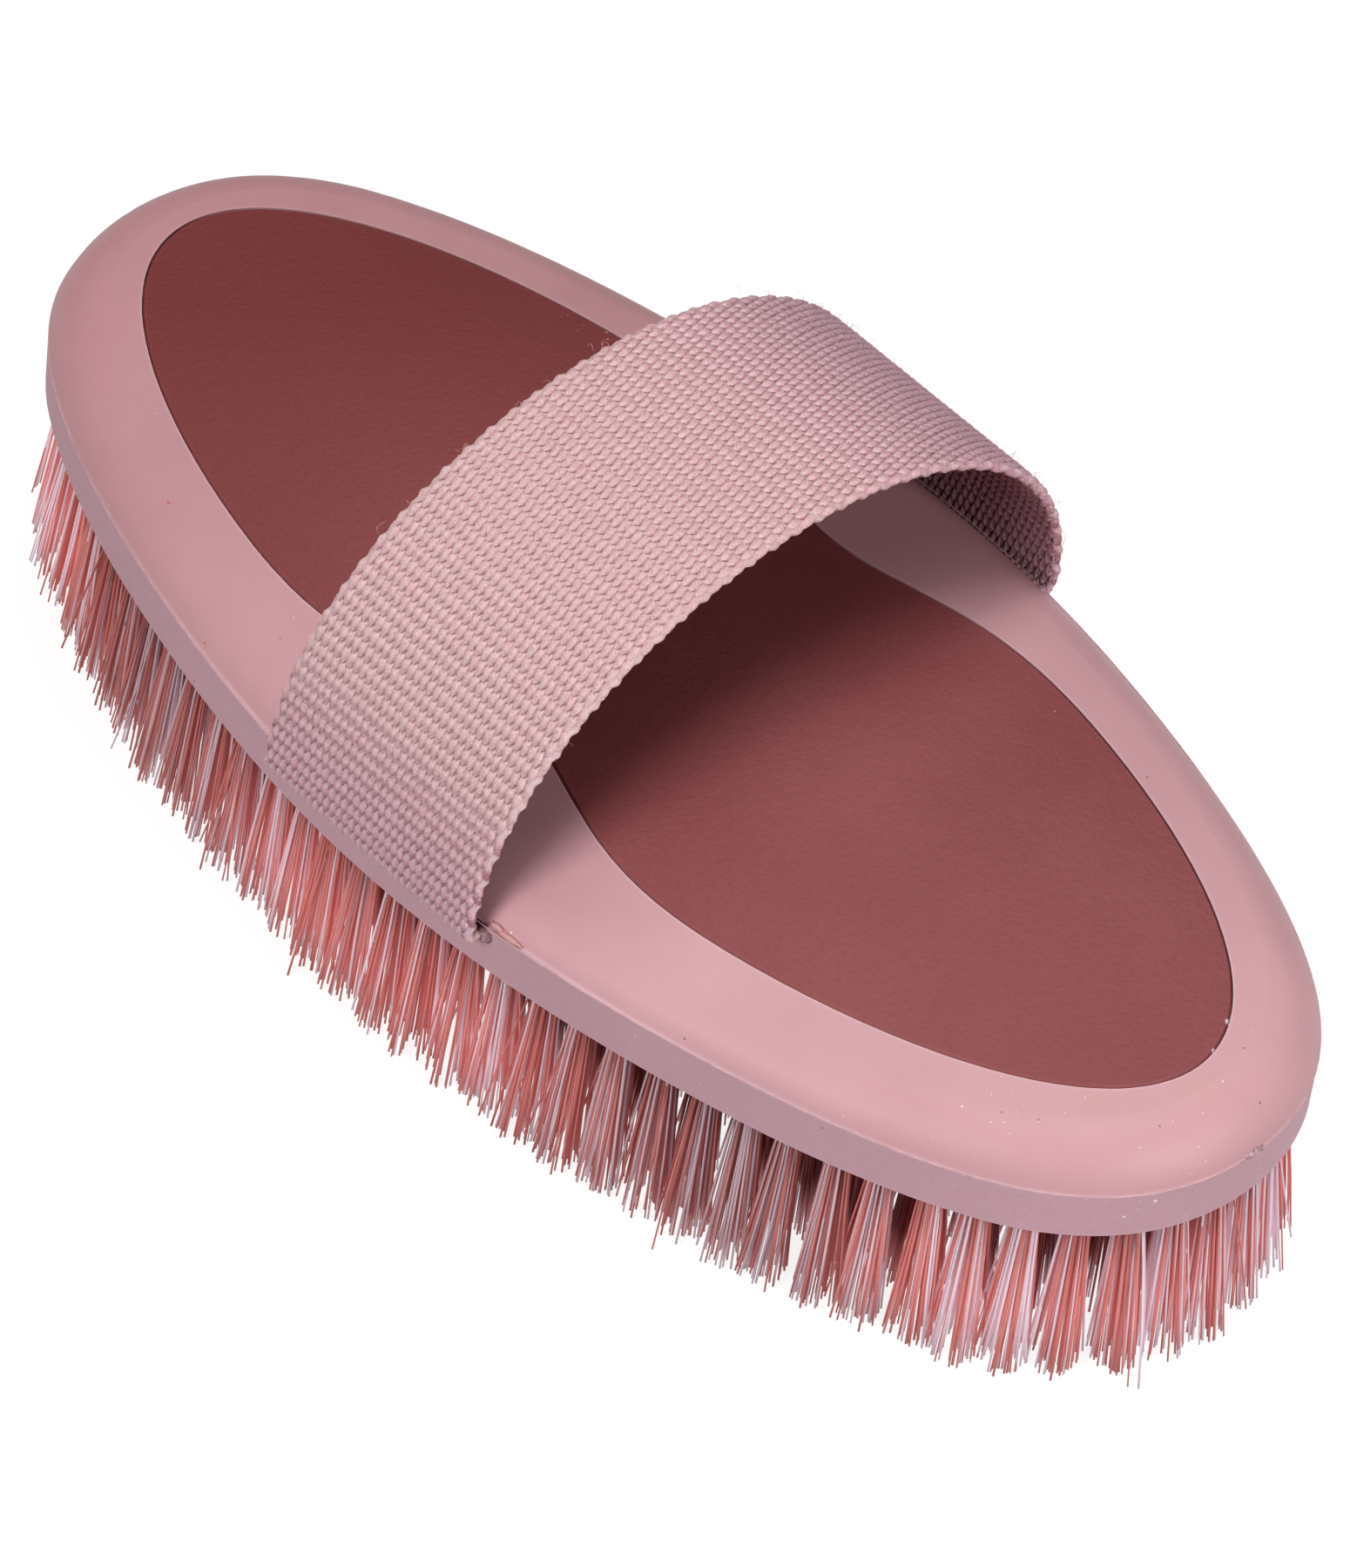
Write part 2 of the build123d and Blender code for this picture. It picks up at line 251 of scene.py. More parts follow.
def end_tree(tree, geometry, material):
    """Ends a tree in Realize Instances and Set Material, smoothly shaded."""
    solid = field(tree, "GeometryNodeRealizeInstances", 0, {0: geometry})
    solid = field(tree, "GeometryNodeSetShadeSmooth", 0, {"Geometry": solid})
    solid = field(tree, "GeometryNodeSetMaterial", 0, {"Geometry": solid, "Material": material})
    node(tree, "NodeGroupOutput", {0: solid})


def add_object(name, data):
    """An object of the given data, linked into the scene."""
    made = bpy.data.objects.new(name, data)
    bpy.context.collection.objects.link(made)
    return made


def grow(name, source, tree, **inputs):
    """Runs a tree on a source object and keeps what it makes as one plain mesh."""
    modifier = source.modifiers.new(tree.name, "NODES")
    modifier.node_group = tree
    for item in tree.interface.items_tree:
        label = item.name.replace(" ", "_")
        if item.item_type == "SOCKET" and item.in_out == "INPUT" and label in inputs:
            modifier[item.identifier] = inputs[label]
    source.update_tag()
    graph = bpy.context.evaluated_depsgraph_get()
    mesh = bpy.data.meshes.new_from_object(source.evaluated_get(graph))
    source.modifiers.clear()
    if not mesh.polygons:
        raise RuntimeError(f"{tree.name} made nothing for {name}")
    mesh.name = name
    return add_object(name, mesh)


def point_object(name, points, **attributes):
    """A mesh of loose points in metres that carries one value or vector for each point."""
    mesh = bpy.data.meshes.new(name)
    mesh.from_pydata([tuple(point) for point in points], [], [])
    for label, values in attributes.items():
        values = np.asarray(values, np.float32)
        wide = values.ndim == 2
        kind = "FLOAT_VECTOR" if wide else "FLOAT"
        layer = mesh.attributes.new(label, kind, "POINT")
        layer.data.foreach_set("vector" if wide else "value", values.ravel())
    return add_object(name, mesh)


def discard(thing):
    """Removes a helper object."""
    bpy.data.objects.remove(thing, do_unlink=True)


# --- shader groups used by more than one finish ----------------------------------------------


def shader_group(name, inputs, outputs):
    """A shader group with number inputs, {name: default}, and its place and inputs as fields."""
    tree = bpy.data.node_groups.new(name, "ShaderNodeTree")
    for label, default in inputs.items():
        made = tree.interface.new_socket(label, in_out="INPUT", socket_type="NodeSocketFloat")
        made.default_value = default
    for label in outputs:
        tree.interface.new_socket(label, in_out="OUTPUT", socket_type="NodeSocketFloat")
    entry = tree.nodes.new("NodeGroupInput")
    given = {socket.name: Field(tree, socket) for socket in entry.outputs if socket.name}
    return tree, object_place(tree), given


def grain_group():
    """Fine moulded grain: a height for the bump and a slow mottle for the colour."""
    tree, place, given = shader_group(
        "Moulded Grain", {"Grain Scale": 2400.0, "Mottle Scale": 45.0}, ["Height", "Mottle"]
    )
    grain = given["Grain Scale"]
    pebble = field(tree, "ShaderNodeTexVoronoi", "Distance", {"Vector": place, "Scale": grain})
    fine = noise(tree, place, detail=3.0, scale=grain * 0.6, roughness=0.6)
    mottle = noise(tree, place, detail=4.0, scale=given["Mottle Scale"], roughness=0.55)
    node(tree, "NodeGroupOutput", {0: pebble * 0.5 + fine * 0.8, 1: mottle})


def speck_group():
    """Sparse round specks of dust or dirt, each at a random place in its own cell."""
    tree, place, given = shader_group(
        "Specks", {"Cell Scale": 160.0, "Share": 0.08, "Size": 0.06}, ["Mask"]
    )
    cells = node(tree, "ShaderNodeTexVoronoi", {"Vector": place, "Scale": given["Cell Scale"]})
    draw = field(tree, "ShaderNodeSeparateColor", 0, {0: cells.outputs["Color"]})
    chosen = draw.math("LESS_THAN", given["Share"])
    near = Field(tree, cells.outputs["Distance"]).math("LESS_THAN", given["Size"])
    node(tree, "NodeGroupOutput", {0: chosen * near})


def edge_group():
    """Rubbed edges: a mask that is 1 on sharp outer edges and breaks up along them."""
    tree, place, given = shader_group("Rubbed Edges", {"Width": 0.0006, "Break Scale": 300.0}, ["Mask"])
    true_normal = field(tree, "ShaderNodeNewGeometry", "Normal")
    round_normal = field(tree, "ShaderNodeBevel", 0, {"Radius": given["Width"]}, samples=4)
    turned = true_normal.vector("DOT_PRODUCT", round_normal)
    wear = (1.0 - turned) * 9.0
    gaps = noise(tree, place, detail=3.0, scale=given["Break Scale"])
    node(tree, "NodeGroupOutput", {0: (wear * gaps).math("MINIMUM", 1.0)})


def mark_group():
    """One mark at a place in millimetres: 1 at its middle, fading and breaking up towards its edge."""
    tree, place, given = shader_group(
        "Mark", {"X": 0.0, "Y": 0.0, "Z": 0.0, "Radius": 1.0, "Break": 0.5}, ["Mask"]
    )
    centre = vector(tree, given["X"], given["Y"], given["Z"]) * MM
    rough = noise(tree, place, detail=2.0, scale=1400.0)
    away = place.vector("DISTANCE", centre) / (given["Radius"] * MM)
    away = away + (rough - 0.5) * 2.0 * given["Break"]
    node(tree, "NodeGroupOutput", {0: ((1.0 - away) * 3.0).clamp()})


def use_group(tree, name, out, inputs=None):
    """Places a shader group in a material, with this material's own values, and gives one output."""
    made = tree.nodes.new("ShaderNodeGroup")
    made.node_tree = bpy.data.node_groups[name]
    for label, value in (inputs or {}).items():
        plug(tree, made.inputs[label], value)
    return Field(tree, made.outputs[out])


def blend_colour(tree, share, first, second, kind="MIX"):
    """The first colour where share is 0 and, mixed or multiplied with it, the second where it is 1."""
    inputs = {0: share, 6: first, 7: second}
    return field(tree, "ShaderNodeMix", 2, inputs, data_type="RGBA", blend_type=kind)


def coats(tree, base, *laid):
    """A colour with coats laid over it in order, each as (share, colour)."""
    for share, shade in laid:
        base = blend_colour(tree, share, base, shade)
    return base


def darken(tree, base, tone):
    """A colour multiplied by a tone."""
    return blend_colour(tree, 1.0, base, (*tone, 1.0), "MULTIPLY")


def ramp(tree, share, stops):
    """A colour ramp with its stops as (place, colour)."""
    made = node(tree, "ShaderNodeValToRGB", {0: share})
    elements = made.color_ramp.elements
    while len(elements) < len(stops):
        elements.new(0.5)
    for element, (place, shade) in zip(elements, stops):
        element.position = place
        element.color = shade
    return Field(tree, made.outputs[0])


def finish_material(name, **fixed):
    """A new material and its tree and Principled shader, with the fixed values on the shader's sockets."""
    material = bpy.data.materials.new(name)
    material.use_nodes = True
    tree = material.node_tree
    shader = tree.nodes["Principled BSDF"]
    for label, value in fixed.items():
        shader.inputs[label.replace("_", " ")].default_value = value
    return material, tree, shader


def paint(tree, shader, base, rough=None):
    """Feeds a colour, and a roughness where one is given, to a shader."""
    plug(tree, shader.inputs["Base Color"], base)
    plug(tree, shader.inputs["Roughness"], rough)


def bump(tree, shader, height, distance, strength):
    """Feeds a height, with its depth in metres, to a shader's normal."""
    inputs = {"Height": height, "Distance": distance, "Strength": strength}
    plug(tree, shader.inputs["Normal"], field(tree, "ShaderNodeBump", 0, inputs))


# --- settings --------------------------------------------------------------------------------


def tint(name, description, shade):
    """A colour that a user can set."""
    return bpy.props.FloatVectorProperty(
        name=name, description=description, subtype="COLOR", size=4, min=0.0, max=1.0, default=shade
    )


def length_setting(name, description, millimetres):
    """A length that a user can set, with its default in millimetres."""
    return bpy.props.FloatProperty(
        name=name, description=description, unit="LENGTH", precision=5, min=0.0, default=millimetres * MM
    )


def amount_setting(name, description, default, **limits):
    """A number from 0 that a user can set."""
    return bpy.props.FloatProperty(name=name, description=description, min=0.0, default=default, **limits)


def number_setting(name, description, default, lowest, most):
    """A whole number that a user can set."""
    return bpy.props.IntProperty(
        name=name, description=description, min=lowest, max=most, default=default
    )


class BrushMouldingSettings(bpy.types.PropertyGroup):
    """Colours and wear of the moulded body"""

    body_tint: tint("Cover", "Colour of the soft-touch cover", colour(216, 166, 171))
    block_tint: tint("Block", "Colour of the bristle block", colour(210, 162, 174))
    pad_tint: tint("Pad", "Colour of the inlaid grip pad", colour(144, 69, 71))
    dust: amount_setting("Dust", "Share of cells that hold a pale speck", 0.09, max=1.0, subtype="FACTOR")
    bead: length_setting("Parting bead", "Half thickness of the bead along the parting line", 0.1)


class BrushBristleSettings(bpy.types.PropertyGroup):
    """Number, size, colours and painted glow of the filaments"""

    filaments: number_setting("Filaments", "Filaments in each tuft", 74, 1, 90)
    thickness: length_setting("Thickness", "Diameter of a filament", 0.38)
    wander: length_setting("Wander", "How far a filament's tip strays from its place in the tuft", 0.55)
    seed: bpy.props.IntProperty(name="Seed", description="Changes every random choice", default=7)
    # A painted glow: light the filaments give off themselves, in place of the light they pass on
    glow: amount_setting("Glow", "Light from all round that a clear filament passes on", 0.29, max=1.0)
    bright: tint("Bright filaments", "Colour of the lighter coloured filaments", colour(244, 162, 157))
    deep: tint("Deep filaments", "Colour of the darker coloured filaments", colour(218, 122, 117))
    pale: tint("Pale filaments", "Colour of the pale filaments mixed in", colour(250, 230, 242))


class BrushWebbingSettings(bpy.types.PropertyGroup):
    """Weave, colours and painted shade of the hand strap"""

    ends: number_setting("Warp ends", "Warp yarns side by side across the strap", 65, 3, 120)
    pick: length_setting("Pick spacing", "Distance between two weft yarns along the strap", 1.885)
    yarn_tint: tint("Yarn", "Colour of the yarn where it is clean and lit", colour(253, 204, 201))
    # The next three colours are painted shade by how the strap turns: over the top of the arch, on the side
    # facing away, where it stands upright
    arch_top_painted_shade: tint("Level yarn", "Colour of the yarn over the top of the arch", colour(248, 190, 187))
    facing_away_painted_shade: tint("Far and inner side", "Colour of the yarn that faces away", colour(128, 70, 82))
    upright_painted_shade: tint("Steep yarn", "Colour of the yarn where the strap is upright", colour(242, 172, 190))
    # The next two colours are painted shade: on the side of a yarn turned down, and in the gaps between
    # yarns
    low_side_painted_shade: tint("Low side", "Colour of the side of a yarn turned down", colour(178, 108, 126))
    shadow_tint: tint("Gaps", "Colour deep between the yarns", colour(160, 70, 76))
    fibres: number_setting("Loose fibres", "Fine fibres that stand off the webbing", 260, 0, 600)


class BrushStageSettings(bpy.types.PropertyGroup):
    """Light and floor around the brush"""

    key: amount_setting("Key light", "Power of the soft light in front of the brush", 9.7, unit="POWER")
    room: amount_setting("Room light", "Strength of the even light from all round", 0.02)
    floor_tint: tint("Floor", "Colour of the plain floor", (0.25, 0.25, 0.25, 1.0))


# --- moulded body ----------------------------------------------------------------------------


# Marks of making and use: kind, place in millimetres, radius in millimetres.
COVER_MARKS = [
    ("red", -56.4, -33.9, 37.3, 0.22), ("red", -30.0, -38.2, 37.1, 0.2), ("red", -37.7, -43.7, 33.4, 0.2),
    ("red", 86.3, -20.0, 38.2, 0.18), ("pit", 47.9, -41.4, 33.5, 0.18), ("pit", 82.7, -22.6, 38.1, 0.16),
    ("pit", 96.1, -9.3, 38.3, 0.16), ("pit", 93.8, 7.2, 38.9, 0.16), ("white", 96.0, 1.4, 38.9, 0.18),
    ("white", 22.1, -46.2, 33.3, 0.16), ("white", 78.9, -25.5, 37.8, 0.16), ("stain", 95.2, -1.5, 39.0, 4.5),
    ("stain", 89.0, -13.0, 38.9, 3.5),
]
BLOCK_MARKS = [
    ("red", 67.2, -36.4, 31.1, 0.18), ("white", 41.9, -43.6, 30.1, 0.15), ("white", 98.5, -16.0, 28.8, 0.25),
    ("white", 100.2, -12.8, 31.0, 0.3), ("white", 99.4, -14.6, 29.9, 0.15), ("pit", 102.9, 1.2, 32.3, 0.4),
]
PAD_MARKS = [
    ("white", 89.6, 8.6, 38.9, 0.5), ("white", 91.9, 3.9, 38.9, 0.4), ("white", 84.0, 4.0, 39.2, 0.15),
]
MARK_KINDS = {                # shade of each kind, and how strong it is
    "red": (colour(206, 84, 84), 0.8), "pit": (colour(120, 66, 72), 0.75),
    "white": (colour(248, 236, 234), 0.9), "stain": (colour(206, 148, 132), 0.14),
}

# Shades of making and wear on the body, and the tones of painted shade towards its -X end
STIPPLE_SHADE = colour(236, 206, 212)
RUBBED_SHADE = colour(240, 214, 216)
DIRT_SHADE = colour(110, 60, 66)
DUST_SHADE = colour(246, 232, 232)
PAD_LIGHT_SHADE = colour(225, 170, 172)
PAD_RUBBED_SHADE = colour(196, 140, 142)
PAD_DUST_SHADE = colour(236, 214, 214)
CRUMB_SHADE = colour(190, 154, 146)
MOTTLE_TONE = (0.80, 0.74, 0.78)
PAD_MOTTLE_TONE = (0.82, 0.78, 0.78)
END_SHADE_TONE = (0.94, 0.86, 0.85, 1.0)
PAD_END_SHADE_TONE = (0.76, 0.64, 0.60, 1.0)

# Where the pad is rubbed to crumbs, in millimetres
CRUMBS = {"X": -47.0, "Y": 34.0, "Z": 38.5, "Radius": 7.0, "Break": 0.6}


def mark_coats(tree, marks):
    """Single marks, each as a coat."""
    for kind, x, y, z, radius in marks:
        shade, strength = MARK_KINDS[kind]
        yield use_group(tree, "Mark", "Mask", {"X": x, "Y": y, "Z": z, "Radius": radius}) * strength, shade


def specks(tree, scale, share, size):
    """Where the sparse specks of dust or dirt are."""
    return use_group(tree, "Specks", "Mask", {"Cell Scale": scale, "Share": share, "Size": size})


def end_shade_share(tree):
    """How much painted shade a place takes: all at the -X end, most of all at the back, none at +X."""
    place = object_place(tree)
    return (place.part("X") * -12.0 + place.part("Y") * 7.0 + 0.1).clamp()


def moulding_material(name, shade, dust, grain, rough, marks, stipple=0.0):
    """Soft-touch moulding: faint mottle, fine grain, rubbed edges, pale dust, painted shade towards the -X
    end, single marks.
    """
    material, tree, shader = finish_material(name, IOR=1.46, Specular_IOR_Level=0.4)
    height = use_group(tree, "Moulded Grain", "Height", {"Grain Scale": grain})
    mottle = use_group(tree, "Moulded Grain", "Mottle", {"Mottle Scale": 40.0})
    worn = use_group(tree, "Rubbed Edges", "Mask")
    settled = (object_place(tree).part("X") * 70.0 - 3.6).clamp(0.2, 3.4) * dust
    patches = mottle.math("MULTIPLY_ADD", 2.2, -0.75).math("MINIMUM", 1.0)
    # Mottle at half strength, then stipple, rubbed edges, dirt and dust
    base = coats(
        tree, darken(tree, shade, MOTTLE_TONE),
        (patches, shade), (0.5, shade), (height * stipple, STIPPLE_SHADE), (worn * 0.5, RUBBED_SHADE),
        (specks(tree, scale=130.0, share=dust * 0.6, size=0.022) * 0.7, DIRT_SHADE),
        (specks(tree, scale=800.0, share=settled, size=0.085) * 0.65, DUST_SHADE),
    )
    # Painted shade, darkest at the -X end and the back, none at +X
    base = blend_colour(tree, end_shade_share(tree), base, END_SHADE_TONE, "MULTIPLY")
    base = coats(tree, base, *mark_coats(tree, marks))
    paint(tree, shader, base, mottle * 0.12 + (rough - 0.06))
    bump(tree, shader, height, distance=0.03 * MM, strength=0.5)
    return material


def pad_material(shade, dust):
    """Rubbery pad with a leathery pebble, darker on its tops, with painted shade towards its -X end, and
    lint, dust and crumbs.
    """
    material, tree, shader = finish_material("grip_pad_rubber", IOR=1.45, Specular_IOR_Level=0.3)
    height = use_group(tree, "Moulded Grain", "Height", {"Grain Scale": 1500.0})
    mottle = use_group(tree, "Moulded Grain", "Mottle", {"Mottle Scale": 30.0})
    worn = use_group(tree, "Rubbed Edges", "Mask", {"Width": 0.0005})
    crumbs = use_group(tree, "Mark", "Mask", CRUMBS) * specks(tree, scale=1500.0, share=0.5, size=0.28)
    end_shaded = tuple(part * tone for part, tone in zip(shade, PAD_END_SHADE_TONE))
    dark = darken(tree, shade, PAD_MOTTLE_TONE)
    base = coats(
        tree, dark, (mottle, blend_colour(tree, 0.16, shade, PAD_LIGHT_SHADE)), (height * 0.5, dark),
        # Painted shade, darkest at the -X end and the back, none at +X
        (end_shade_share(tree), end_shaded), (worn * 0.25, PAD_RUBBED_SHADE),
        (specks(tree, scale=230.0, share=dust, size=0.03) * 0.7, PAD_DUST_SHADE),
        (crumbs * 0.8, CRUMB_SHADE),
        *mark_coats(tree, PAD_MARKS),
    )
    paint(tree, shader, base, mottle * 0.15 + 0.5)
    bump(tree, shader, height, distance=0.13 * MM, strength=0.8)
    return material


def dress(names, material):
    """Gives CAD nodes a material in place of their plain one."""
    for name in names:
        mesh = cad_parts[name].data
        mesh.materials.clear()
        mesh.materials.append(material)


class BRUSH_OT_body(bpy.types.Operator):
    """Gives the moulded cover and the bristle block their soft-touch finish"""

    bl_idname = "brush.body"
    bl_label = "Finish Body"

    def execute(self, context):
        given = context.scene.brush_moulding
        dress(["top_cover"], moulding_material(
            "cover_soft_touch", tuple(given.body_tint), given.dust, grain=2600.0, rough=0.5,
            marks=COVER_MARKS,
        ))
        dress(["bristle_block"], moulding_material(
            "block_soft_touch", tuple(given.block_tint), given.dust * 1.6, grain=1700.0, rough=0.56,
            marks=BLOCK_MARKS, stipple=0.2,
        ))
        return {"FINISHED"}


class BRUSH_OT_pad(bpy.types.Operator):
    """Gives the inlaid grip pad its pebbled rubber"""

    bl_idname = "brush.pad"
    bl_label = "Finish Pad"

    def execute(self, context):
        given = context.scene.brush_moulding
        dress(["grip_pad"], pad_material(tuple(given.pad_tint), given.dust))
        return {"FINISHED"}


class BRUSH_OT_anchors(bpy.types.Operator):
    """Gives the staple anchors that hold the tufts a drawn wire finish"""

    bl_idname = "brush.anchors"
    bl_label = "Finish Anchors"

    def execute(self, context):
        material, tree, shader = finish_material("anchor_wire", Metallic=1.0)
        drawn = noise(tree, object_place(tree) * (900.0, 900.0, 9000.0), detail=2.0)
        shade = ramp(tree, drawn, [(0.3, colour(150, 148, 146)), (0.7, colour(205, 203, 200))])
        paint(tree, shader, shade, drawn * 0.3 + 0.2)
        dress([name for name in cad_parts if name.startswith("anchors_bank_")], material)
        return {"FINISHED"}


def bead_tree():
    """A thin bead that follows the body's outline at the parting line, thicker and thinner along it."""
    tree, (_, bead, seed, material) = geometry_tree("Parting Bead", Bead=("Float", 0.0001), Seed=("Int", 3))
    circle = field(tree, "GeometryNodeCurvePrimitiveCircle", 0, {"Resolution": 360, "Radius": 1.0})
    angle = field(tree, "GeometryNodeSplineParameter", "Factor") * math.tau
    reach = (angle * 6.0).math("COSINE") * -OUTLINE_SWELL + 1.0
    semi_x = BODY_LENGTH / 2 / (1 - OUTLINE_SWELL) * MM
    semi_y = BODY_WIDTH / 2 / (1 + OUTLINE_SWELL) * MM
    place = vector(
        tree, angle.math("COSINE") * reach * semi_x, angle.math("SINE") * reach * semi_y, SEAM * MM
    )
    line = move_to(tree, circle, place)
    spot = field(tree, "GeometryNodeInputPosition") * 260.0 + vector(tree, seed, 0.0, 0.0)
    thickness = (noise(tree, spot, detail=2.0) * 1.2 + 0.3) * bead
    profile = field(tree, "GeometryNodeCurvePrimitiveCircle", 0, {"Resolution": 6, "Radius": 1.0})
    inputs = {"Curve": line, "Profile Curve": profile, "Scale": thickness}
    end_tree(tree, field(tree, "GeometryNodeCurveToMesh", 0, inputs), material)
    return tree


class BRUSH_OT_bead(bpy.types.Operator):
    """Runs a fine bead along the parting line between cover and block"""

    bl_idname = "brush.bead"
    bl_label = "Add Parting Bead"

    def execute(self, context):
        given = context.scene.brush_moulding
        material, tree, shader = finish_material("parting_bead", Roughness=0.55)
        mottle = use_group(tree, "Moulded Grain", "Mottle", {"Mottle Scale": 500.0})
        shade = ramp(tree, mottle, [(0.35, colour(206, 160, 168)), (0.65, colour(226, 186, 188))])
        paint(tree, shader, shade)
        source = point_object("bead_source", [(0, 0, 0)])
        bead = grow("parting_bead", source, bead_tree(), Bead=given.bead, Material=material)
        discard(source)
        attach(bead, "root")
        return {"FINISHED"}


# Lumps of flash and rolled ends of yarn: place, half length, depth and height in mm, turn in degrees
FLASH = [
    (102.9, 1.0, 32.5, 1.5, 0.30, 0.55, 90.0), (102.9, -0.8, 32.4, 0.7, 0.22, 0.28, 90.0),
    (22.0, -46.8, 32.9, 2.2, 0.3, 0.42, 5.0), (20.2, -46.95, 33.2, 1.0, 0.25, 0.5, 5.0),
    (-21.2, -47.0, 31.9, 0.9, 0.25, 0.5, -6.0),
]
KNOTS = [
    (18.9, -47.2, 31.2, 1.2, 0.9, 1.1, 0.0), (19.3, -46.6, 32.3, 1.0, 0.6, 0.7, 20.0),
    (-18.7, -47.15, 31.3, 0.9, 0.7, 0.9, 0.0),
]


def lump_points(name, lumps):
    """Loose points that carry the half sizes and turn of each lump."""
    places = [tuple(value * MM for value in lump[:3]) for lump in lumps]
    sizes = [tuple(value * MM for value in lump[3:6]) for lump in lumps]
    return point_object(name, places, size=sizes, turn=[math.radians(lump[6]) for lump in lumps])


def lump_tree():
    """Torn lumps, one on each point, of the size and turn that the point carries."""
    tree, (points, seed, material) = geometry_tree("Mould Flash", Seed=("Float", 2.0))
    ball = field(tree, "GeometryNodeMeshIcoSphere", "Mesh", {"Radius": 1.0, "Subdivisions": 4})
    solid, local = copies(tree, ball, points)
    root = field(tree, "GeometryNodeInputPosition") - local
    torn = noise(tree, local * 1.7 + root * 3000.0 + vector(tree, seed, 0.0, 0.0), detail=3.0)
    lump = local * named(tree, "size", "FLOAT_VECTOR") * (torn * 1.6 + 0.2)
    turn = named(tree, "turn")
    cosine, sine = turn.math("COSINE"), turn.math("SINE")
    along, out = lump.part("X"), lump.part("Y")
    target = root + vector(tree, along * cosine - out * sine, along * sine + out * cosine, lump.part("Z"))
    solid = move_to(tree, solid, target)
    end_tree(tree, keep(tree, solid, "torn", torn), material)
    return tree


def flash_material():
    """Torn flash in the moulding's own peach shade, greyer at the gate on the end."""
    material, tree, shader = finish_material("mould_flash", Roughness=0.45)
    torn = attribute(tree, "torn")
    gate = (object_place(tree).part("X") * 1000.0 - 90.0).clamp()
    peach = ramp(tree, torn, [(0.35, colour(210, 144, 142)), (0.6, colour(228, 176, 174))])
    grey = ramp(tree, torn, [(0.4, colour(132, 92, 98)), (0.55, colour(222, 182, 188))])
    paint(tree, shader, blend_colour(tree, gate, peach, grey))
    return material


class BRUSH_OT_flash(bpy.types.Operator):
    """Leaves the gate mark at the end of the parting line and the flash beside the strap's slot"""

    bl_idname = "brush.flash"
    bl_label = "Add Mould Flash"

    def execute(self, context):
        source = lump_points("flash_source", FLASH)
        flash = grow("mould_flash", source, lump_tree(), Material=flash_material())
        discard(source)
        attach(flash, "root")
        return {"FINISHED"}


# --- bristles --------------------------------------------------------------------------------


# How a tuft's filaments lie and look, with lengths in millimetres
HIDDEN_INSET = 8.5            # a root this far in from the body's outline is hidden by other tufts
OPEN_INSET = 5.5              # one this near to the outline stands open
ROOT_SPREAD = 0.85            # how wide the filaments stand, as a share of the solid tuft's root
TIP_SPREAD = 1.28             # the same at the tips
STRAY_SHARE = 0.03            # share of the filaments that stray
TUFT_SWAY = 0.5               # most that a tuft's tips lean either way
FILAMENT_BOW = 0.25           # most that a filament bows
FILAMENT_SIDES = 4
FILAMENT_STRETCHES = 3
STREAK_TONE = (0.8, 0.7, 0.7)
# The next two tones are painted shade: on the tufts that the outer ones hide, and deep at the roots between
# tufts
INNER_PAINTED_SHADE_TONE = (0.34, 0.2, 0.2) # tone of the tufts that the outer ones hide
ROOT_PAINTED_SHADE = colour(110, 30, 26)
UNLIT_SHADE = colour(40, 6, 6)


def solids_of(name):
    """The corners of each separate solid in a CAD node."""
    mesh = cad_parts[name].data
    corners = [tuple(round(value, 6) for value in vertex.co) for vertex in mesh.vertices]
    home = {corner: corner for corner in corners}

    def find(corner):
        """The corner that stands for this corner's whole solid."""
        while home[corner] != corner:
            corner = home[corner]
        return corner

    for face in mesh.polygons:
        first, *others = [corners[index] for index in face.vertices]
        for corner in others:
            home[find(corner)] = find(first)
    solids = {}
    for corner in home:
        solids.setdefault(find(corner), []).append(corner)
    return [np.array(solid) for solid in solids.values()]


def tuft_points(name):
    """A loose point at each tuft's root with the way to its tip, both radii and how open it stands."""
    roots, reaches, root_radii, tip_radii, open_sides = [], [], [], [], []
    hidden = HIDDEN_INSET * MM
    fade = hidden - OPEN_INSET * MM
    level_gap = 0.1 * MM
    for corners in solids_of(name):
        level = corners[:, 2]
        high = corners[level > level.max() - level_gap]
        low = corners[level < level.min() + level_gap]
        root, tip = high.mean(axis=0), low.mean(axis=0)
        roots.append(root)
        reaches.append(tip - root)
        root_radii.append(np.linalg.norm(high - root, axis=1).mean())
        tip_radii.append(np.linalg.norm(low - tip, axis=1).mean())
        ring = math.hypot(root[0] / (BODY_LENGTH / 2 * MM), root[1] / (BODY_WIDTH / 2 * MM))
        inset = math.hypot(root[0], root[1]) * (1.0 / ring - 1.0)
        open_sides.append(min(max((hidden - inset) / fade, 0.0), 1.0))
    return point_object(
        name + "_points", roots, reach=reaches, root_radius=root_radii, tip_radius=tip_radii,
        open_side=open_sides,
    )


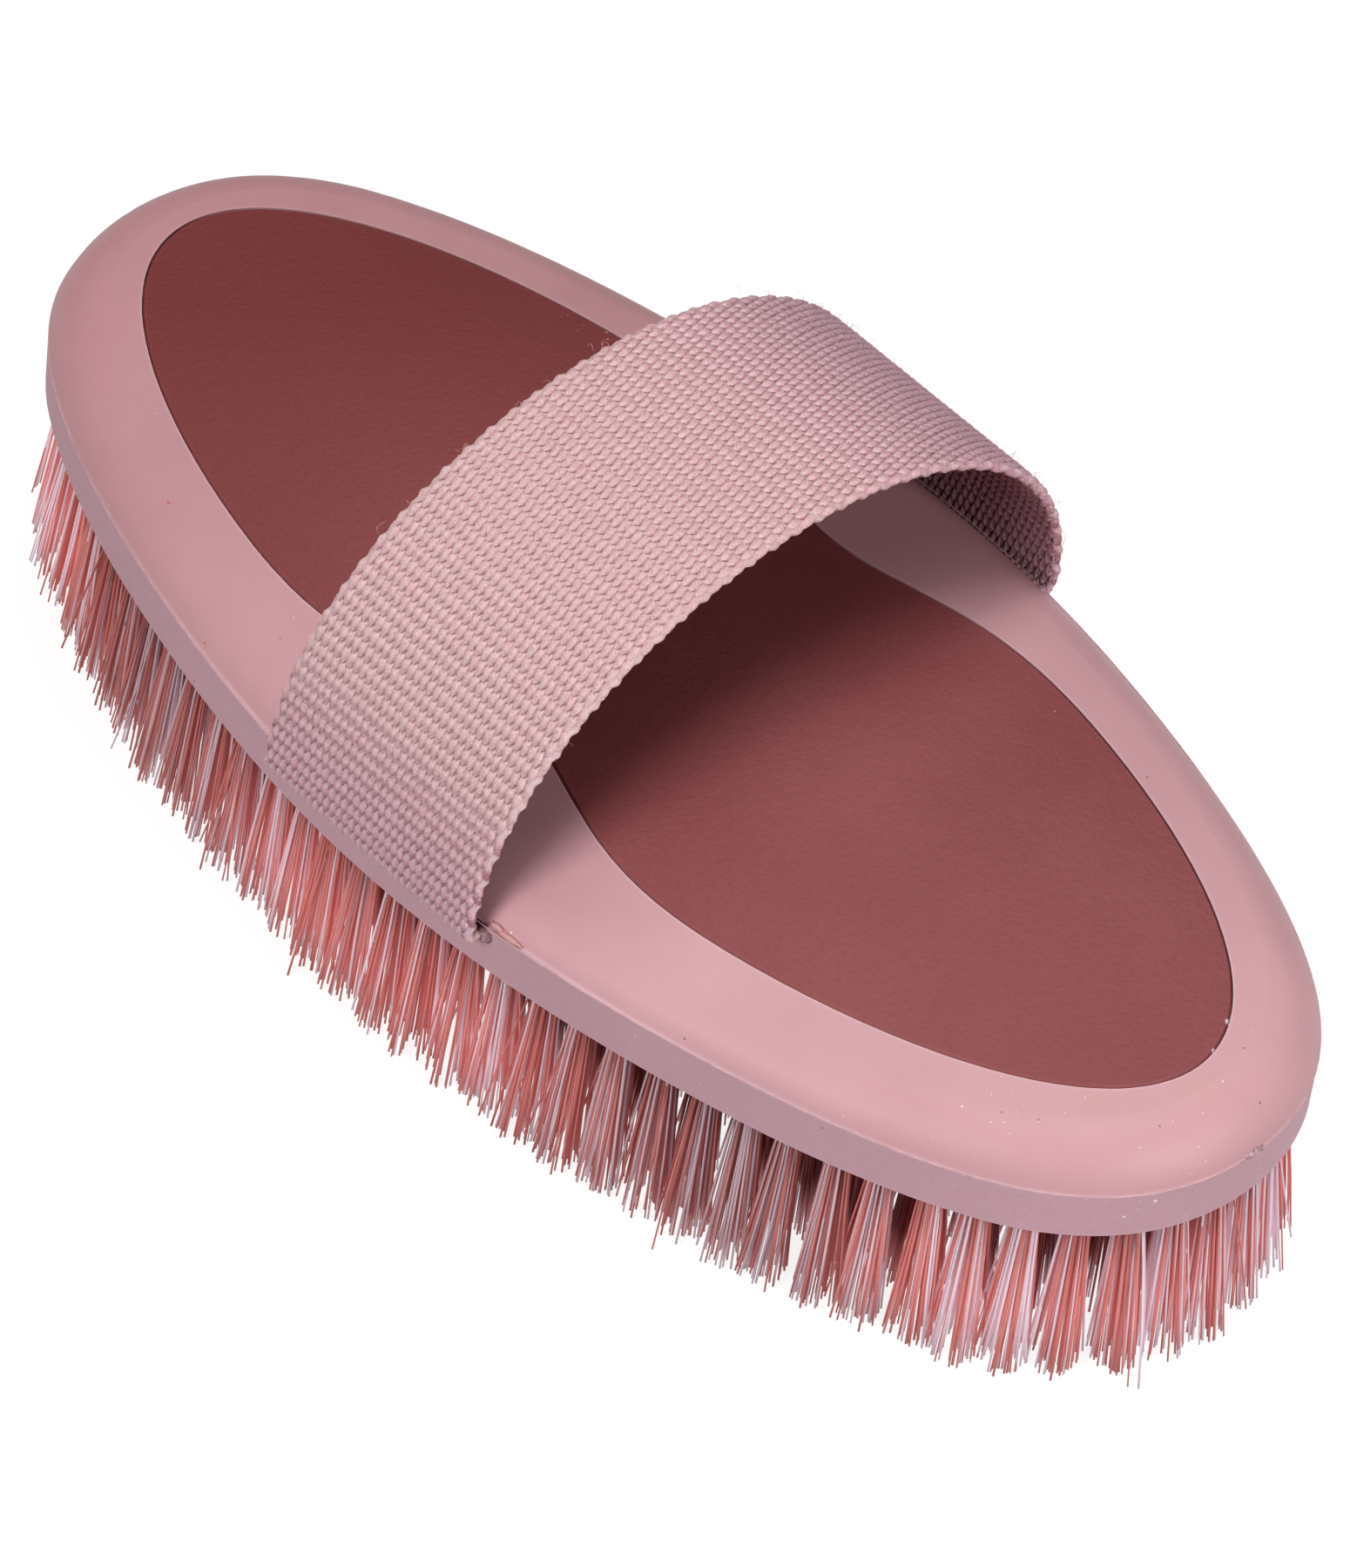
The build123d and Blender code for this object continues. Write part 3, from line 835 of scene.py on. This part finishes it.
def filament_lines(tree, points, count, thickness, wander, draw):
    """A point for each filament, with its start and end from the tuft's root, bow, width and shade."""
    points = keep(tree, points, "tuft_shade", draw(0.0, 1.0, 1))
    points = keep(tree, points, "tuft_sway_x", draw(-1.0, 1.0, 2))
    points = keep(tree, points, "tuft_sway_y", draw(-1.0, 1.0, 3))
    inputs = {"Geometry": points, "Amount": count}
    lines = field(tree, "GeometryNodeDuplicateElements", 0, inputs, domain="POINT")

    turn = draw(0.0, math.tau, 4)
    spread = draw(0.0, 1.0, 5) ** 0.38
    away = vector(tree, turn.math("COSINE") * spread, turn.math("SINE") * spread, 0.0)
    stray = draw(0.0, 1.0, 6).math("LESS_THAN", STRAY_SHARE)
    loose = wander * (stray * 6.0 + 1.0)
    drift = vector(
        tree,
        draw(-1.0, 1.0, 7) * loose + named(tree, "tuft_sway_x") * (TUFT_SWAY * MM),
        draw(-1.0, 1.0, 8) * loose + named(tree, "tuft_sway_y") * (TUFT_SWAY * MM),
        0.0,
    )
    short = draw(0.0, 1.0, 9)
    reach = named(tree, "reach", "FLOAT_VECTOR") * (short * short * short * -0.08 + 0.998)
    start = away * (named(tree, "root_radius") * ROOT_SPREAD)
    end = reach + away * (named(tree, "tip_radius") * TIP_SPREAD) + drift
    bend = (stray * 2.0 + 1.0) * (FILAMENT_BOW * MM)
    bow = vector(tree, draw(-1.0, 1.0, 10) * bend, draw(-1.0, 1.0, 11) * bend, 0.0)

    for name, value in (("start", start), ("end", end), ("bow", bow)):
        lines = keep(tree, lines, name, value, "FLOAT_VECTOR")
    lines = keep(tree, lines, "width", draw(0.75, 1.15, 12) * thickness)
    return keep(tree, lines, "shade", draw(0.0, 1.0, 13))


def tuft_tree():
    """Filaments fanned out of each tuft's hole: straight, crossing a little, with uneven tips."""
    tree, (points, count, thickness, wander, seed, material) = geometry_tree(
        "Tufts", Filaments=("Int", 40), Thickness=("Float", 0.0004), Wander=("Float", 0.001), Seed=("Int", 1)
    )
    lines = filament_lines(tree, points, count, thickness, wander, chances(tree, seed))
    solid, local = copies(tree, stick(tree, FILAMENT_SIDES, FILAMENT_STRETCHES), lines)
    along = 0.5 - local.part("Z")
    root = field(tree, "GeometryNodeInputPosition") - local
    line = root + named(tree, "start", "FLOAT_VECTOR").mix(named(tree, "end", "FLOAT_VECTOR"), along)
    line = line + named(tree, "bow", "FLOAT_VECTOR") * (along * (1.0 - along) * 4.0)
    thick = named(tree, "width") * (along * -0.12 + 0.56)      # half its width, tapering
    solid = move_to(tree, solid, line + local * (1.0, 1.0, 0.0) * thick)
    end_tree(tree, keep(tree, solid, "along", along), material)
    return tree


def bristle_material(given):
    """Clear drawn filaments with a painted glow for the light they pass on: coral in several lots, some
    pale, with painted shade deep at the roots and on the hidden tufts.
    """
    material, tree, shader = finish_material(
        "bristle_filament", IOR=1.5, Specular_IOR_Level=0.2, Emission_Strength=given.glow,
    )
    names = ("shade", "tuft_shade", "along", "open_side")
    shade, lot, along, open_side = (attribute(tree, name) for name in names)
    place = object_place(tree)
    coral = ramp(tree, shade * 0.8 + lot * 0.3, [(0.05, tuple(given.deep)), (0.85, tuple(given.bright))])
    likely = lot * lot * 0.3 + (place.part("X") * 1.2 + 0.18).clamp(0.17, 0.3)
    pale_share = (shade * 7.31).math("FRACT").math("LESS_THAN", likely)
    streak = noise(tree, place * (2600.0, 2600.0, 160.0), detail=2.0)
    # Painted shade deep at the roots, and below it painted shade on the tufts that the outer ones hide
    root_dim = (along * -1.9 + 0.85).clamp(0.0, 0.85) * (pale_share * -0.7 + 1.0)
    open_side = open_side.math("MAXIMUM", (along * 3.2 - 2.2).clamp(0.0, 0.85))
    clean = blend_colour(tree, pale_share, coral, tuple(given.pale))
    outer = coats(tree, darken(tree, clean, STREAK_TONE), (streak, clean), (root_dim, ROOT_PAINTED_SHADE))
    base = blend_colour(tree, open_side, darken(tree, outer, INNER_PAINTED_SHADE_TONE), outer)
    paint(tree, shader, base, streak * 0.25 + 0.35)

    # Painted glow: emission in place of the light the filaments pass on, fading to the roots and in the
    # hidden tufts, stronger towards -X
    lit = (along * 1.1 + 0.02).math("MINIMUM", 1.0) * (open_side * 0.85 + 0.15)
    lit = lit * (place.part("X") * -2.0 + 1.0).clamp(0.85, 1.2)
    lit = lit * (pale_share * 0.25 + 0.8)
    plug(tree, shader.inputs["Emission Color"], blend_colour(tree, lit, UNLIT_SHADE, base))
    bump(tree, shader, streak, distance=0.02 * MM, strength=0.3)
    return material


class BRUSH_OT_bristles(bpy.types.Operator):
    """Fills every tuft of every bank with its own filaments"""

    bl_idname = "brush.bristles"
    bl_label = "Add Bristles"

    def execute(self, context):
        given = context.scene.brush_bristles
        material = bristle_material(given)
        tree = tuft_tree()
        banks = sorted(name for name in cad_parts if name.startswith("tufts_bank_"))
        if not banks:
            raise RuntimeError("the part has no banks of tufts")
        for number, name in enumerate(banks):
            source = tuft_points(name)
            piece = grow(
                name.replace("tufts", "filaments"), source, tree, Filaments=given.filaments,
                Thickness=given.thickness, Wander=given.wander, Seed=given.seed + 40 * number,
                Material=material,
            )
            discard(source)
            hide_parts(name)
            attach(piece, "root")
        return {"FINISHED"}


# --- webbing ---------------------------------------------------------------------------------


# Sizes of the weave in millimetres
WARP_DEPTH = 0.7              # half depth of a warp yarn between its crests
CREST_FLATTENING = 0.22       # how much flatter it is on a crest
WARP_WAVE = 0.4               # how far it swings out over a weft yarn
OUTER_WAVE = 0.2              # how much less the outermost yarn on each side swings
WARP_UNEVENNESS = 0.08        # how unevenly yarns stand up
YARN_SIDES = 8
STRETCHES_PER_PICK = 5.0      # of a warp yarn, for each weft yarn that it passes
OUTER_SHARE = 0.48            # past this share of the width from the middle a yarn counts as outermost
WEFT_REACH = (18.85, 19.1)    # from the middle of the strap to the turned end of a weft yarn
WEFT_HALF_WIDTH = 0.74
WEFT_HALF_DEPTH = 0.34
WEFT_END_SWELL = 0.1          # how much thicker a weft yarn is where it turns
WEFT_STRETCHES = 14
FIBRE_REACH = (24.0, 166.0)   # stretch of the strap, from its first end, that sheds fibres
FIBRE_ROOT = 19.2             # from the middle of the strap to the root of a fibre at the selvedge
FIBRE_OUT = (0.2, 1.6)        # how far a fibre stands out sideways
FIBRE_UP = (0.2, 1.3)         # how high it curls
FIBRE_RUN = (-1.8, 1.8)       # how far it runs along the strap
FIBRE_LIFT = 0.6              # from the strap's centre line out to its root
FIBRE_HALF_THICKNESS = 0.022
FIBRE_SIDES = 3
FIBRE_STRETCHES = 6
WARP_LOTS = 3                 # pieces that the warp is made in


def handle_share(angle):
    """Length of each Bezier handle that draws an arc of this angle with a radius of 1."""
    return 4 / 3 * math.tan(angle / 4)


def strap_half(side):
    """The strap's centre line on side -1 or 1, from its cut end to the crown, as points (y, z).

    Each point comes with its handle towards the cut end and its handle towards the crown.
    """
    tilt = math.atan2(STRAP_LEAN, STRAP_RISE)
    outward = Vector((side, 0.0))
    upward = Vector((math.sin(tilt), math.cos(tilt)))
    centre = Vector((side * STRAP_TURN, SEAM))
    turn = centre - Vector((0.0, STRAP_FOLD_RADIUS))
    foot = centre + Vector((upward.y, -upward.x)) * side * STRAP_FOLD_RADIUS
    crown = Vector((STRAP_LEAN, SEAM + STRAP_RISE))
    cut = turn - outward * STRAP_TAIL
    tail = outward * STRAP_TAIL / 3
    fold = handle_share(math.pi / 2 - side * tilt) * STRAP_FOLD_RADIUS
    arch = (crown - foot) * handle_share(math.pi / 2)
    return [
        (cut, cut, cut + tail),
        (turn, turn - tail, turn + outward * fold),
        (foot, foot - upward * fold, foot + upward * arch.y),
        (crown, crown - Vector((arch.x, 0.0)), crown),
    ]


def strap_curve():
    """The strap's centre line as one Bezier curve in the plane x = 0."""
    near, far = strap_half(-1), strap_half(1)
    crown, before, _ = near.pop()
    _, after, _ = far.pop()
    line = [*near, (crown, before, after)]
    for place, to_end, to_crown in reversed(far):
        line.append((place, to_crown, to_end))
    curve = bpy.data.curves.new("strap_line", "CURVE")
    curve.dimensions = "3D"
    curve.resolution_u = 24
    spline = curve.splines.new("BEZIER")
    spline.bezier_points.add(len(line) - 1)
    for point, places in zip(spline.bezier_points, line):
        point.handle_left_type = point.handle_right_type = "FREE"
        place, before, after = ((0.0, y * MM, z * MM) for y, z in places)
        point.co, point.handle_left, point.handle_right = place, before, after
    return add_object("strap_line", curve)


def strap_path(tree, path):
    """The strap's centre line and its length."""
    path = field(tree, "GeometryNodeObjectInfo", "Geometry", {"Object": path})
    return path, field(tree, "GeometryNodeCurveLength", 0, {"Curve": path})


def follow(tree, path, distance):
    """Point, direction and outward normal of the strap's centre line at a distance along it."""
    sample = node(
        tree, "GeometryNodeSampleCurve", {"Curves": path, "Length": distance}, mode="LENGTH",
        use_all_curves=True,
    )
    place = Field(tree, sample.outputs["Position"])
    tangent = Field(tree, sample.outputs["Tangent"])
    across = vector(tree, 1.0, 0.0, 0.0)
    return place, tangent, across.vector("CROSS_PRODUCT", tangent)


def warp_tree():
    """Warp yarns side by side, each over one weft and under the next, swelling where it shows."""
    tree, (_, path, first, ends, all_ends, pick, seed, material) = geometry_tree(
        "Warp Yarns", Path=("Object", None), First=("Int", 0), Ends=("Int", 22), All_Ends=("Int", 65),
        Pick=("Float", 0.0019), Seed=("Int", 5),
    )
    path, length = strap_path(tree, path)
    pitch = field(tree, "ShaderNodeMath", 0, {0: STRAP_FACE * MM, 1: all_ends}, operation="DIVIDE")
    line = field(tree, "GeometryNodeMeshLine", 0, {"Count": ends})
    line = keep(tree, line, "yarn", field(tree, "GeometryNodeInputIndex") + first)
    stretches = (length / pick).math("ROUND") * STRETCHES_PER_PICK
    solid, local = copies(tree, stick(tree, YARN_SIDES, stretches), line)

    yarn = named(tree, "yarn")
    distance = (local.part("Z") + 0.5) * length
    steps = distance / pick
    place, tangent, normal = follow(tree, path, distance)
    spot = vector(tree, yarn * 3.7, steps * 0.9, seed)
    uneven = noise(tree, spot, detail=1.0, scale=1.0, out=1) - (0.5, 0.5, 0.5)
    jitter, puff, skew = (uneven.part(axis) for axis in "XYZ")
    wave = ((steps + yarn) * math.pi).math("COSINE")
    crest = abs(wave)
    half_width = pitch * (crest * 0.52 + 0.62) * (puff * 0.2 + 1.0)
    half_height = crest * (-CREST_FLATTENING * MM) + WARP_DEPTH * MM
    outer = abs((yarn + 0.5) / all_ends - 0.5).math("GREATER_THAN", OUTER_SHARE)
    height = wave * (outer * (-OUTER_WAVE * MM) + WARP_WAVE * MM) + puff * (WARP_UNEVENNESS * MM)
    odd = yarn.math("MODULO", 2.0)
    lean = (steps * math.tau).math("SINE") * pitch * (odd * 0.16 - 0.2 + skew * 0.4)
    across = (yarn + 0.5) * pitch - STRAP_FACE / 2 * MM + jitter * pitch * 0.35 + lean
    target = place + normal * (height + local.part("Y") * half_height)
    target = target + vector(tree, across + local.part("X") * half_width, 0.0, 0.0)

    facts = {
        "steps": steps, "lift": wave * local.part("Y"), "outer": outer, "side": local.part("X"),
        "climb": tangent.part("Z"), "under": local.part("Y") * -1.0,
    }
    for name, value in facts.items():
        solid = keep(tree, solid, name, value)
    end_tree(tree, move_to(tree, solid, target), material)
    return tree


def weft_tree():
    """Weft yarns straight across, one at each pick, whose turned ends make the scalloped selvedge."""
    tree, (_, path, pick, seed, material) = geometry_tree(
        "Weft Yarns", Path=("Object", None), Pick=("Float", 0.0019), Seed=("Int", 5)
    )
    path, length = strap_path(tree, path)
    line = field(tree, "GeometryNodeMeshLine", 0, {"Count": (length / pick).math("ROUND")})
    line = keep(tree, line, "row", field(tree, "GeometryNodeInputIndex"))
    low, high = (reach * MM for reach in WEFT_REACH)
    line = keep(tree, line, "reach", chance(tree, low, high, seed))
    solid, local = copies(tree, stick(tree, YARN_SIDES, WEFT_STRETCHES), line)

    row = named(tree, "row")
    place, tangent, normal = follow(tree, path, (row + 0.5) * pick)
    station = local.part("Z") * 2.0
    edge = abs(station)
    eased = station.math("SIGN") * (1.0 - (1.0 - edge) ** 2.0)
    rounding = (1.0 - abs(eased) ** 40.0).math("MAXIMUM", 0.0).math("SQRT")
    end_swell = abs(eased) ** 30.0 * (WEFT_END_SWELL * MM)
    target = place + vector(tree, eased * named(tree, "reach"), 0.0, 0.0)
    target = target + tangent * (local.part("X") * (end_swell + WEFT_HALF_WIDTH * MM) * rounding)
    target = target + normal * (local.part("Y") * (end_swell * 2.0 + WEFT_HALF_DEPTH * MM) * rounding)
    for name, value in (("steps", row * 2.0), ("lift", edge * 0.3), ("side", local.part("X"))):
        solid = keep(tree, solid, name, value)
    end_tree(tree, move_to(tree, solid, target), material)
    return tree


def fibre_tree():
    """Fine curled fibres that stand off the webbing, most of them along its two selvedges."""
    tree, (_, path, count, seed, material) = geometry_tree(
        "Loose Fibres", Path=("Object", None), Fibres=("Int", 200), Seed=("Int", 9)
    )
    path, _ = strap_path(tree, path)
    draw = chances(tree, seed)

    def draw_length(limits, number):
        """A random length between two in millimetres."""
        return draw(limits[0] * MM, limits[1] * MM, number)

    side = draw(-1.0, 1.0, 1)
    edge = side.math("SIGN") * abs(side) ** 0.3
    line = field(tree, "GeometryNodeMeshLine", 0, {"Count": count})
    facts = {
        "distance": draw_length(FIBRE_REACH, 2), "across": edge * (FIBRE_ROOT * MM),
        "out": edge * draw_length(FIBRE_OUT, 3), "up": draw_length(FIBRE_UP, 4),
        "run": draw_length(FIBRE_RUN, 5),
    }
    for name, value in facts.items():
        line = keep(tree, line, name, value)
    solid, local = copies(tree, stick(tree, FIBRE_SIDES, FIBRE_STRETCHES), line)

    along = local.part("Z") + 0.5
    place, tangent, normal = follow(tree, path, named(tree, "distance"))
    curl = (along * math.pi).math("SINE")
    out = named(tree, "across") + named(tree, "out") * along
    rise = named(tree, "up") * curl + FIBRE_LIFT * MM
    target = place + vector(tree, out, 0.0, 0.0) + normal * rise
    target = target + tangent * (named(tree, "run") * along * along)
    half = FIBRE_HALF_THICKNESS * MM
    target = target + local * (half, half, 0.0)
    end_tree(tree, move_to(tree, solid, target), material)
    return tree


def yarn_with_painted_shade(tree, given, climb):
    """The yarn's colour with painted shade by how the strap climbs: over the top of the arch, where it
    stands upright and where it faces away; and how steep it is and how far it faces away.
    """
    steep = ((abs(climb) - 0.84) * 6.0).clamp()
    level = (climb * -1.3 + 1.0).clamp()
    away = (climb * -1.0).math("MAXIMUM", 0.0)
    upright = steep.math("MAXIMUM", (away * 1.8).math("MINIMUM", 1.0))
    yarn, over, stood = (tuple(shade) for shade in (given.yarn_tint, given.arch_top_painted_shade, given.upright_painted_shade))
    return coats(tree, yarn, (level, over), (upright, stood)), steep, away


def yarn_material(given):
    """Twisted yarn: streaks along it, painted glints, a painted highlight where it faces up, painted mauve
    shade below and painted shade in the gaps.
    """
    material, tree, shader = finish_material(
        "webbing_yarn", Sheen_Weight=0.18, Sheen_Tint=colour(255, 206, 214), Specular_IOR_Level=0.35,
    )
    names = ("steps", "yarn", "lift", "side", "climb", "under", "outer")
    steps, yarn, lift, side, climb, under, outer = (attribute(tree, name) for name in names)
    inner = outer * -0.85 + 1.0
    twist = vector(tree, side * 3.0 + steps * 1.5, steps * 0.8, yarn * 5.3)
    streak = noise(tree, twist, detail=4.0, scale=3.0, roughness=0.65)
    streak = ((streak - 0.5) * 2.6 + 0.5).clamp()
    fine = noise(tree, object_place(tree) * 3900.0, detail=1.0, scale=1.0)
    # Painted glints of the yarn's fibres, and dark specks of its own texture
    glint = ((fine - 0.53) * 8.0).clamp()
    speck = ((0.44 - fine) * 8.0).clamp()
    lot = noise(tree, vector(tree, yarn * 1.7, steps * 0.6, 0.0), detail=1.0, scale=1.0)
    low = tuple(given.low_side_painted_shade)

    # Each show of a yarn between two crossings: a painted highlight where it faces up, painted shade where
    # it faces down, painted glints at its near end, and a pinhole at its far end, painted dark as shade
    # where the strap is not steep and pale as a highlight where it is steep
    clean, steep, away = yarn_with_painted_shade(tree, given, climb)
    pale = blend_colour(tree, 0.55, clean, colour(255, 238, 242))
    phase = ((steps + yarn) * 0.5 + 0.5).math("FRACT") * 2.0 - 1.0
    facing = phase * climb
    shaded = ((facing * -2.2 + 0.2) * (steep * 0.8 + 0.12)).clamp()
    near_end = ((phase * -1.0 - 0.2) * 4.0).clamp() * (steep * -0.7 + 0.85)
    near_end = near_end * ((fine * 3.0 + streak * 2.0 + side * 0.4 - 1.75) * 1.8).clamp()
    pinhole = ((phase - 0.3) * 9.0).clamp() * ((0.38 - abs(side)) * 6.0).clamp()
    pinhole_painted_shade = pinhole * (1.0 - steep)

    # Painted shade in the gaps between yarns, and on the side of the strap that faces away
    depth = (lift * -1.8 - 0.25).math("MAXIMUM", pinhole_painted_shade * 0.9).math("MINIMUM", 1.0)
    behind = (away * 0.5 - 0.1).math("MAXIMUM", under * 0.75 - 0.15).clamp(0.0, 0.5)

    # Coats: tone, painted highlight, painted shade, specks, painted glints, pale pinholes, painted shade in
    # the gaps and on the far side
    base = coats(
        tree, clean, (lot * 0.4 + streak * 0.4, pale), ((facing * 2.0 - 0.2).clamp(0.0, 0.8), pale),
        (shaded, low), (speck * 0.35, low), (glint * 0.5, colour(255, 236, 241)),
        (near_end * inner, colour(255, 228, 232)), (pinhole * steep * 0.8, colour(255, 226, 236)),
        (depth * inner * 0.85, tuple(given.shadow_tint)), (behind * inner, tuple(given.facing_away_painted_shade)),
    )
    paint(tree, shader, base, streak * 0.3 + 0.42)
    bump(tree, shader, streak * 0.7 + fine * 0.5, distance=0.16 * MM, strength=0.8)
    return material


def rolled_yarn_material():
    """Grey-brown rolled ends of yarn, flattened and singed."""
    material, tree, shader = finish_material("rolled_yarn", Roughness=0.45, Sheen_Weight=0.08)
    band = noise(tree, object_place(tree) * 1400.0, detail=3.0, scale=1.0)
    stops = [(0.36, colour(120, 78, 84)), (0.6, colour(190, 146, 152)), (0.72, colour(236, 206, 212))]
    paint(tree, shader, ramp(tree, band, stops))
    return material


class BRUSH_OT_webbing(bpy.types.Operator):
    """Weaves the hand strap from its warp and weft and lets a few fibres loose"""

    bl_idname = "brush.webbing"
    bl_label = "Weave Strap"

    def execute(self, context):
        given = context.scene.brush_webbing
        material = yarn_material(given)
        path = strap_curve()
        source = point_object("webbing_source", [(0, 0, 0)])
        warp = warp_tree()
        made = []
        for lot in range(WARP_LOTS):
            first = given.ends * lot // WARP_LOTS
            after = given.ends * (lot + 1) // WARP_LOTS
            made.append(grow(
                f"webbing_warp_{lot + 1}", source, warp, Path=path, First=first, Ends=after - first,
                All_Ends=given.ends, Pick=given.pick, Material=material,
            ))
        made.append(grow("webbing_weft", source, weft_tree(), Path=path, Pick=given.pick, Material=material))
        made.append(grow(
            "webbing_fibres", source, fibre_tree(), Path=path, Fibres=given.fibres, Material=material
        ))
        discard(source)
        discard(path)
        source = lump_points("knot_source", KNOTS)
        rolled = rolled_yarn_material()
        made.append(grow("webbing_rolled_ends", source, lump_tree(), Seed=9.0, Material=rolled))
        discard(source)
        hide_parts("hand_strap")
        for piece in made:
            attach(piece, "root")
        return {"FINISHED"}


# --- stage -----------------------------------------------------------------------------------


# Floor, lights and camera, in metres unless they say otherwise
FLOOR_HALF = 4.0
FLOOR_GLOW = 0.86             # light that only the camera sees, and that makes the lit floor white
BODY_CENTRE = (0.0, 0.0, 0.03)
LIGHTS = [                    # name, place, target, width, share of the key light's power
    ("key_light", (0.0, -1.065, 0.776), BODY_CENTRE, 0.6, 1.0),
    ("back_light", (-0.325, 0.563, 1.156), BODY_CENTRE, 0.6, 0.43),
    ("top_light", (0.05, 0.1, 1.33), BODY_CENTRE, 0.6, 0.45),
    ("end_light", (0.543, 0.0, 0.251), (0.09, 0.0, 0.04), 0.3, 0.165),
]
CAMERA_ANGLES = (-48.154, 45.866, 7.617)    # azimuth, elevation and roll in degrees
CAMERA_TARGET = (15.41, -12.88, 32.5)       # in millimetres
CAMERA_DISTANCE = 1.144
CAMERA_SENSOR = 36.0                        # in millimetres, as the lens
CAMERA_LENS = 213.33


def stage_material(shade):
    """A plain pale floor: white to the camera, with the object's soft shadow left on it."""
    material = bpy.data.materials.new("stage_floor")
    material.use_nodes = True
    tree = material.node_tree
    tree.nodes.clear()
    light_path = tree.nodes.new("ShaderNodeLightPath")
    seen = Field(tree, light_path.outputs["Is Camera Ray"])
    for ray in ("Is Glossy Ray", "Is Transmission Ray"):
        seen = seen.math("MAXIMUM", light_path.outputs[ray])
    matte = node(tree, "ShaderNodeBsdfDiffuse", {"Color": shade})
    glow = node(tree, "ShaderNodeEmission", {"Color": WHITE, "Strength": seen * FLOOR_GLOW})
    lit = node(tree, "ShaderNodeAddShader", {0: matte.outputs[0], 1: glow.outputs[0]})
    under = field(tree, "ShaderNodeNewGeometry", "Backfacing")
    clear = tree.nodes.new("ShaderNodeBsdfTransparent")
    both = node(tree, "ShaderNodeMixShader", {0: under, 1: lit.outputs[0], 2: clear.outputs[0]})
    node(tree, "ShaderNodeOutputMaterial", {0: both.outputs[0]})
    return material


def set_world(strength):
    """White to the camera, and an even light of the given strength on the object."""
    world = bpy.data.worlds.new("studio_room")
    world.use_nodes = True
    tree = world.node_tree
    tree.nodes.clear()
    level = field(tree, "ShaderNodeLightPath", "Is Camera Ray") * (1.0 - strength) + strength
    glow = node(tree, "ShaderNodeBackground", {"Color": WHITE, "Strength": level})
    node(tree, "ShaderNodeOutputWorld", {0: glow.outputs[0]})
    bpy.context.scene.world = world


def soft_light(name, place, target, width, power):
    """A round soft light at a place, turned to its target."""
    data = bpy.data.lights.new(name, "AREA")
    data.shape = "DISK"
    data.size = width
    data.energy = power
    made = add_object(name, data)
    made.location = place
    made.rotation_euler = (Vector(target) - Vector(place)).to_track_quat("-Z", "Y").to_euler()


def set_camera():
    """The camera stands in front and above, on the -Y and +X side, and is rolled a little."""
    azimuth, elevation, roll = (math.radians(angle) for angle in CAMERA_ANGLES)
    level = math.cos(elevation)
    back = Vector((level * math.cos(azimuth), level * math.sin(azimuth), math.sin(elevation)))
    right = back.cross(Vector((0, 0, -1))).normalized()
    up = back.cross(right)
    side = right * math.cos(roll) + up * math.sin(roll)
    data = bpy.data.cameras.new("camera")
    data.sensor_width = CAMERA_SENSOR
    data.lens = CAMERA_LENS
    data.clip_start, data.clip_end = 0.05, 20.0
    made = add_object("camera", data)
    made.location = Vector(CAMERA_TARGET) * MM + back * CAMERA_DISTANCE
    made.rotation_mode = "QUATERNION"
    made.rotation_quaternion = Matrix((side, back.cross(side), back)).transposed().to_quaternion()
    bpy.context.scene.camera = made


class BRUSH_OT_stage(bpy.types.Operator):
    """Sets the pale floor, the soft light and the camera"""

    bl_idname = "brush.stage"
    bl_label = "Set Stage"

    def execute(self, context):
        given = context.scene.brush_stage
        mesh = bpy.data.meshes.new("floor")
        sides = ((-1, -1), (1, -1), (1, 1), (-1, 1))
        corners = [(x * FLOOR_HALF, y * FLOOR_HALF, 0) for x, y in sides]
        mesh.from_pydata(corners, [], [(0, 1, 2, 3)])
        mesh.materials.append(stage_material(tuple(given.floor_tint)))
        floor = add_object("floor", mesh)
        for name, place, target, width, share in LIGHTS:
            soft_light(name, place, target, width, given.key * share)
        set_world(given.room)
        set_camera()
        context.scene.view_settings.view_transform = "Standard"
        return {"FINISHED"}


class BRUSH_PT_panel(bpy.types.Panel):
    """Lists the steps that dress the brush and their settings"""

    bl_idname = "BRUSH_PT_panel"
    bl_label = "Body Brush"
    bl_space_type = "VIEW_3D"
    bl_region_type = "UI"
    bl_category = "Brush"

    def draw(self, context):
        for step in STEPS:
            self.layout.operator(step.bl_idname)
        for name in SETTINGS:
            group = getattr(context.scene, name)
            box = self.layout.box()
            for label in group.__annotations__:
                box.prop(group, label)


STEPS = [
    BRUSH_OT_body, BRUSH_OT_pad, BRUSH_OT_anchors, BRUSH_OT_bead, BRUSH_OT_flash, BRUSH_OT_bristles,
    BRUSH_OT_webbing, BRUSH_OT_stage,
]
SETTINGS = {
    "brush_moulding": BrushMouldingSettings,
    "brush_bristles": BrushBristleSettings,
    "brush_webbing": BrushWebbingSettings,
    "brush_stage": BrushStageSettings,
}


def register():
    for made in (*SETTINGS.values(), *STEPS, BRUSH_PT_panel):
        bpy.utils.register_class(made)
    for name, made in SETTINGS.items():
        setattr(bpy.types.Scene, name, bpy.props.PointerProperty(type=made))


def unregister():
    for name in SETTINGS:
        delattr(bpy.types.Scene, name)
    for made in (BRUSH_PT_panel, *reversed(STEPS), *SETTINGS.values()):
        bpy.utils.unregister_class(made)


def main():
    register()
    for build in (grain_group, speck_group, edge_group, mark_group):
        build()
    for step in STEPS:
        group, name = step.bl_idname.split(".")
        getattr(getattr(bpy.ops, group), name)()


if __name__ == "__main__":
    main()
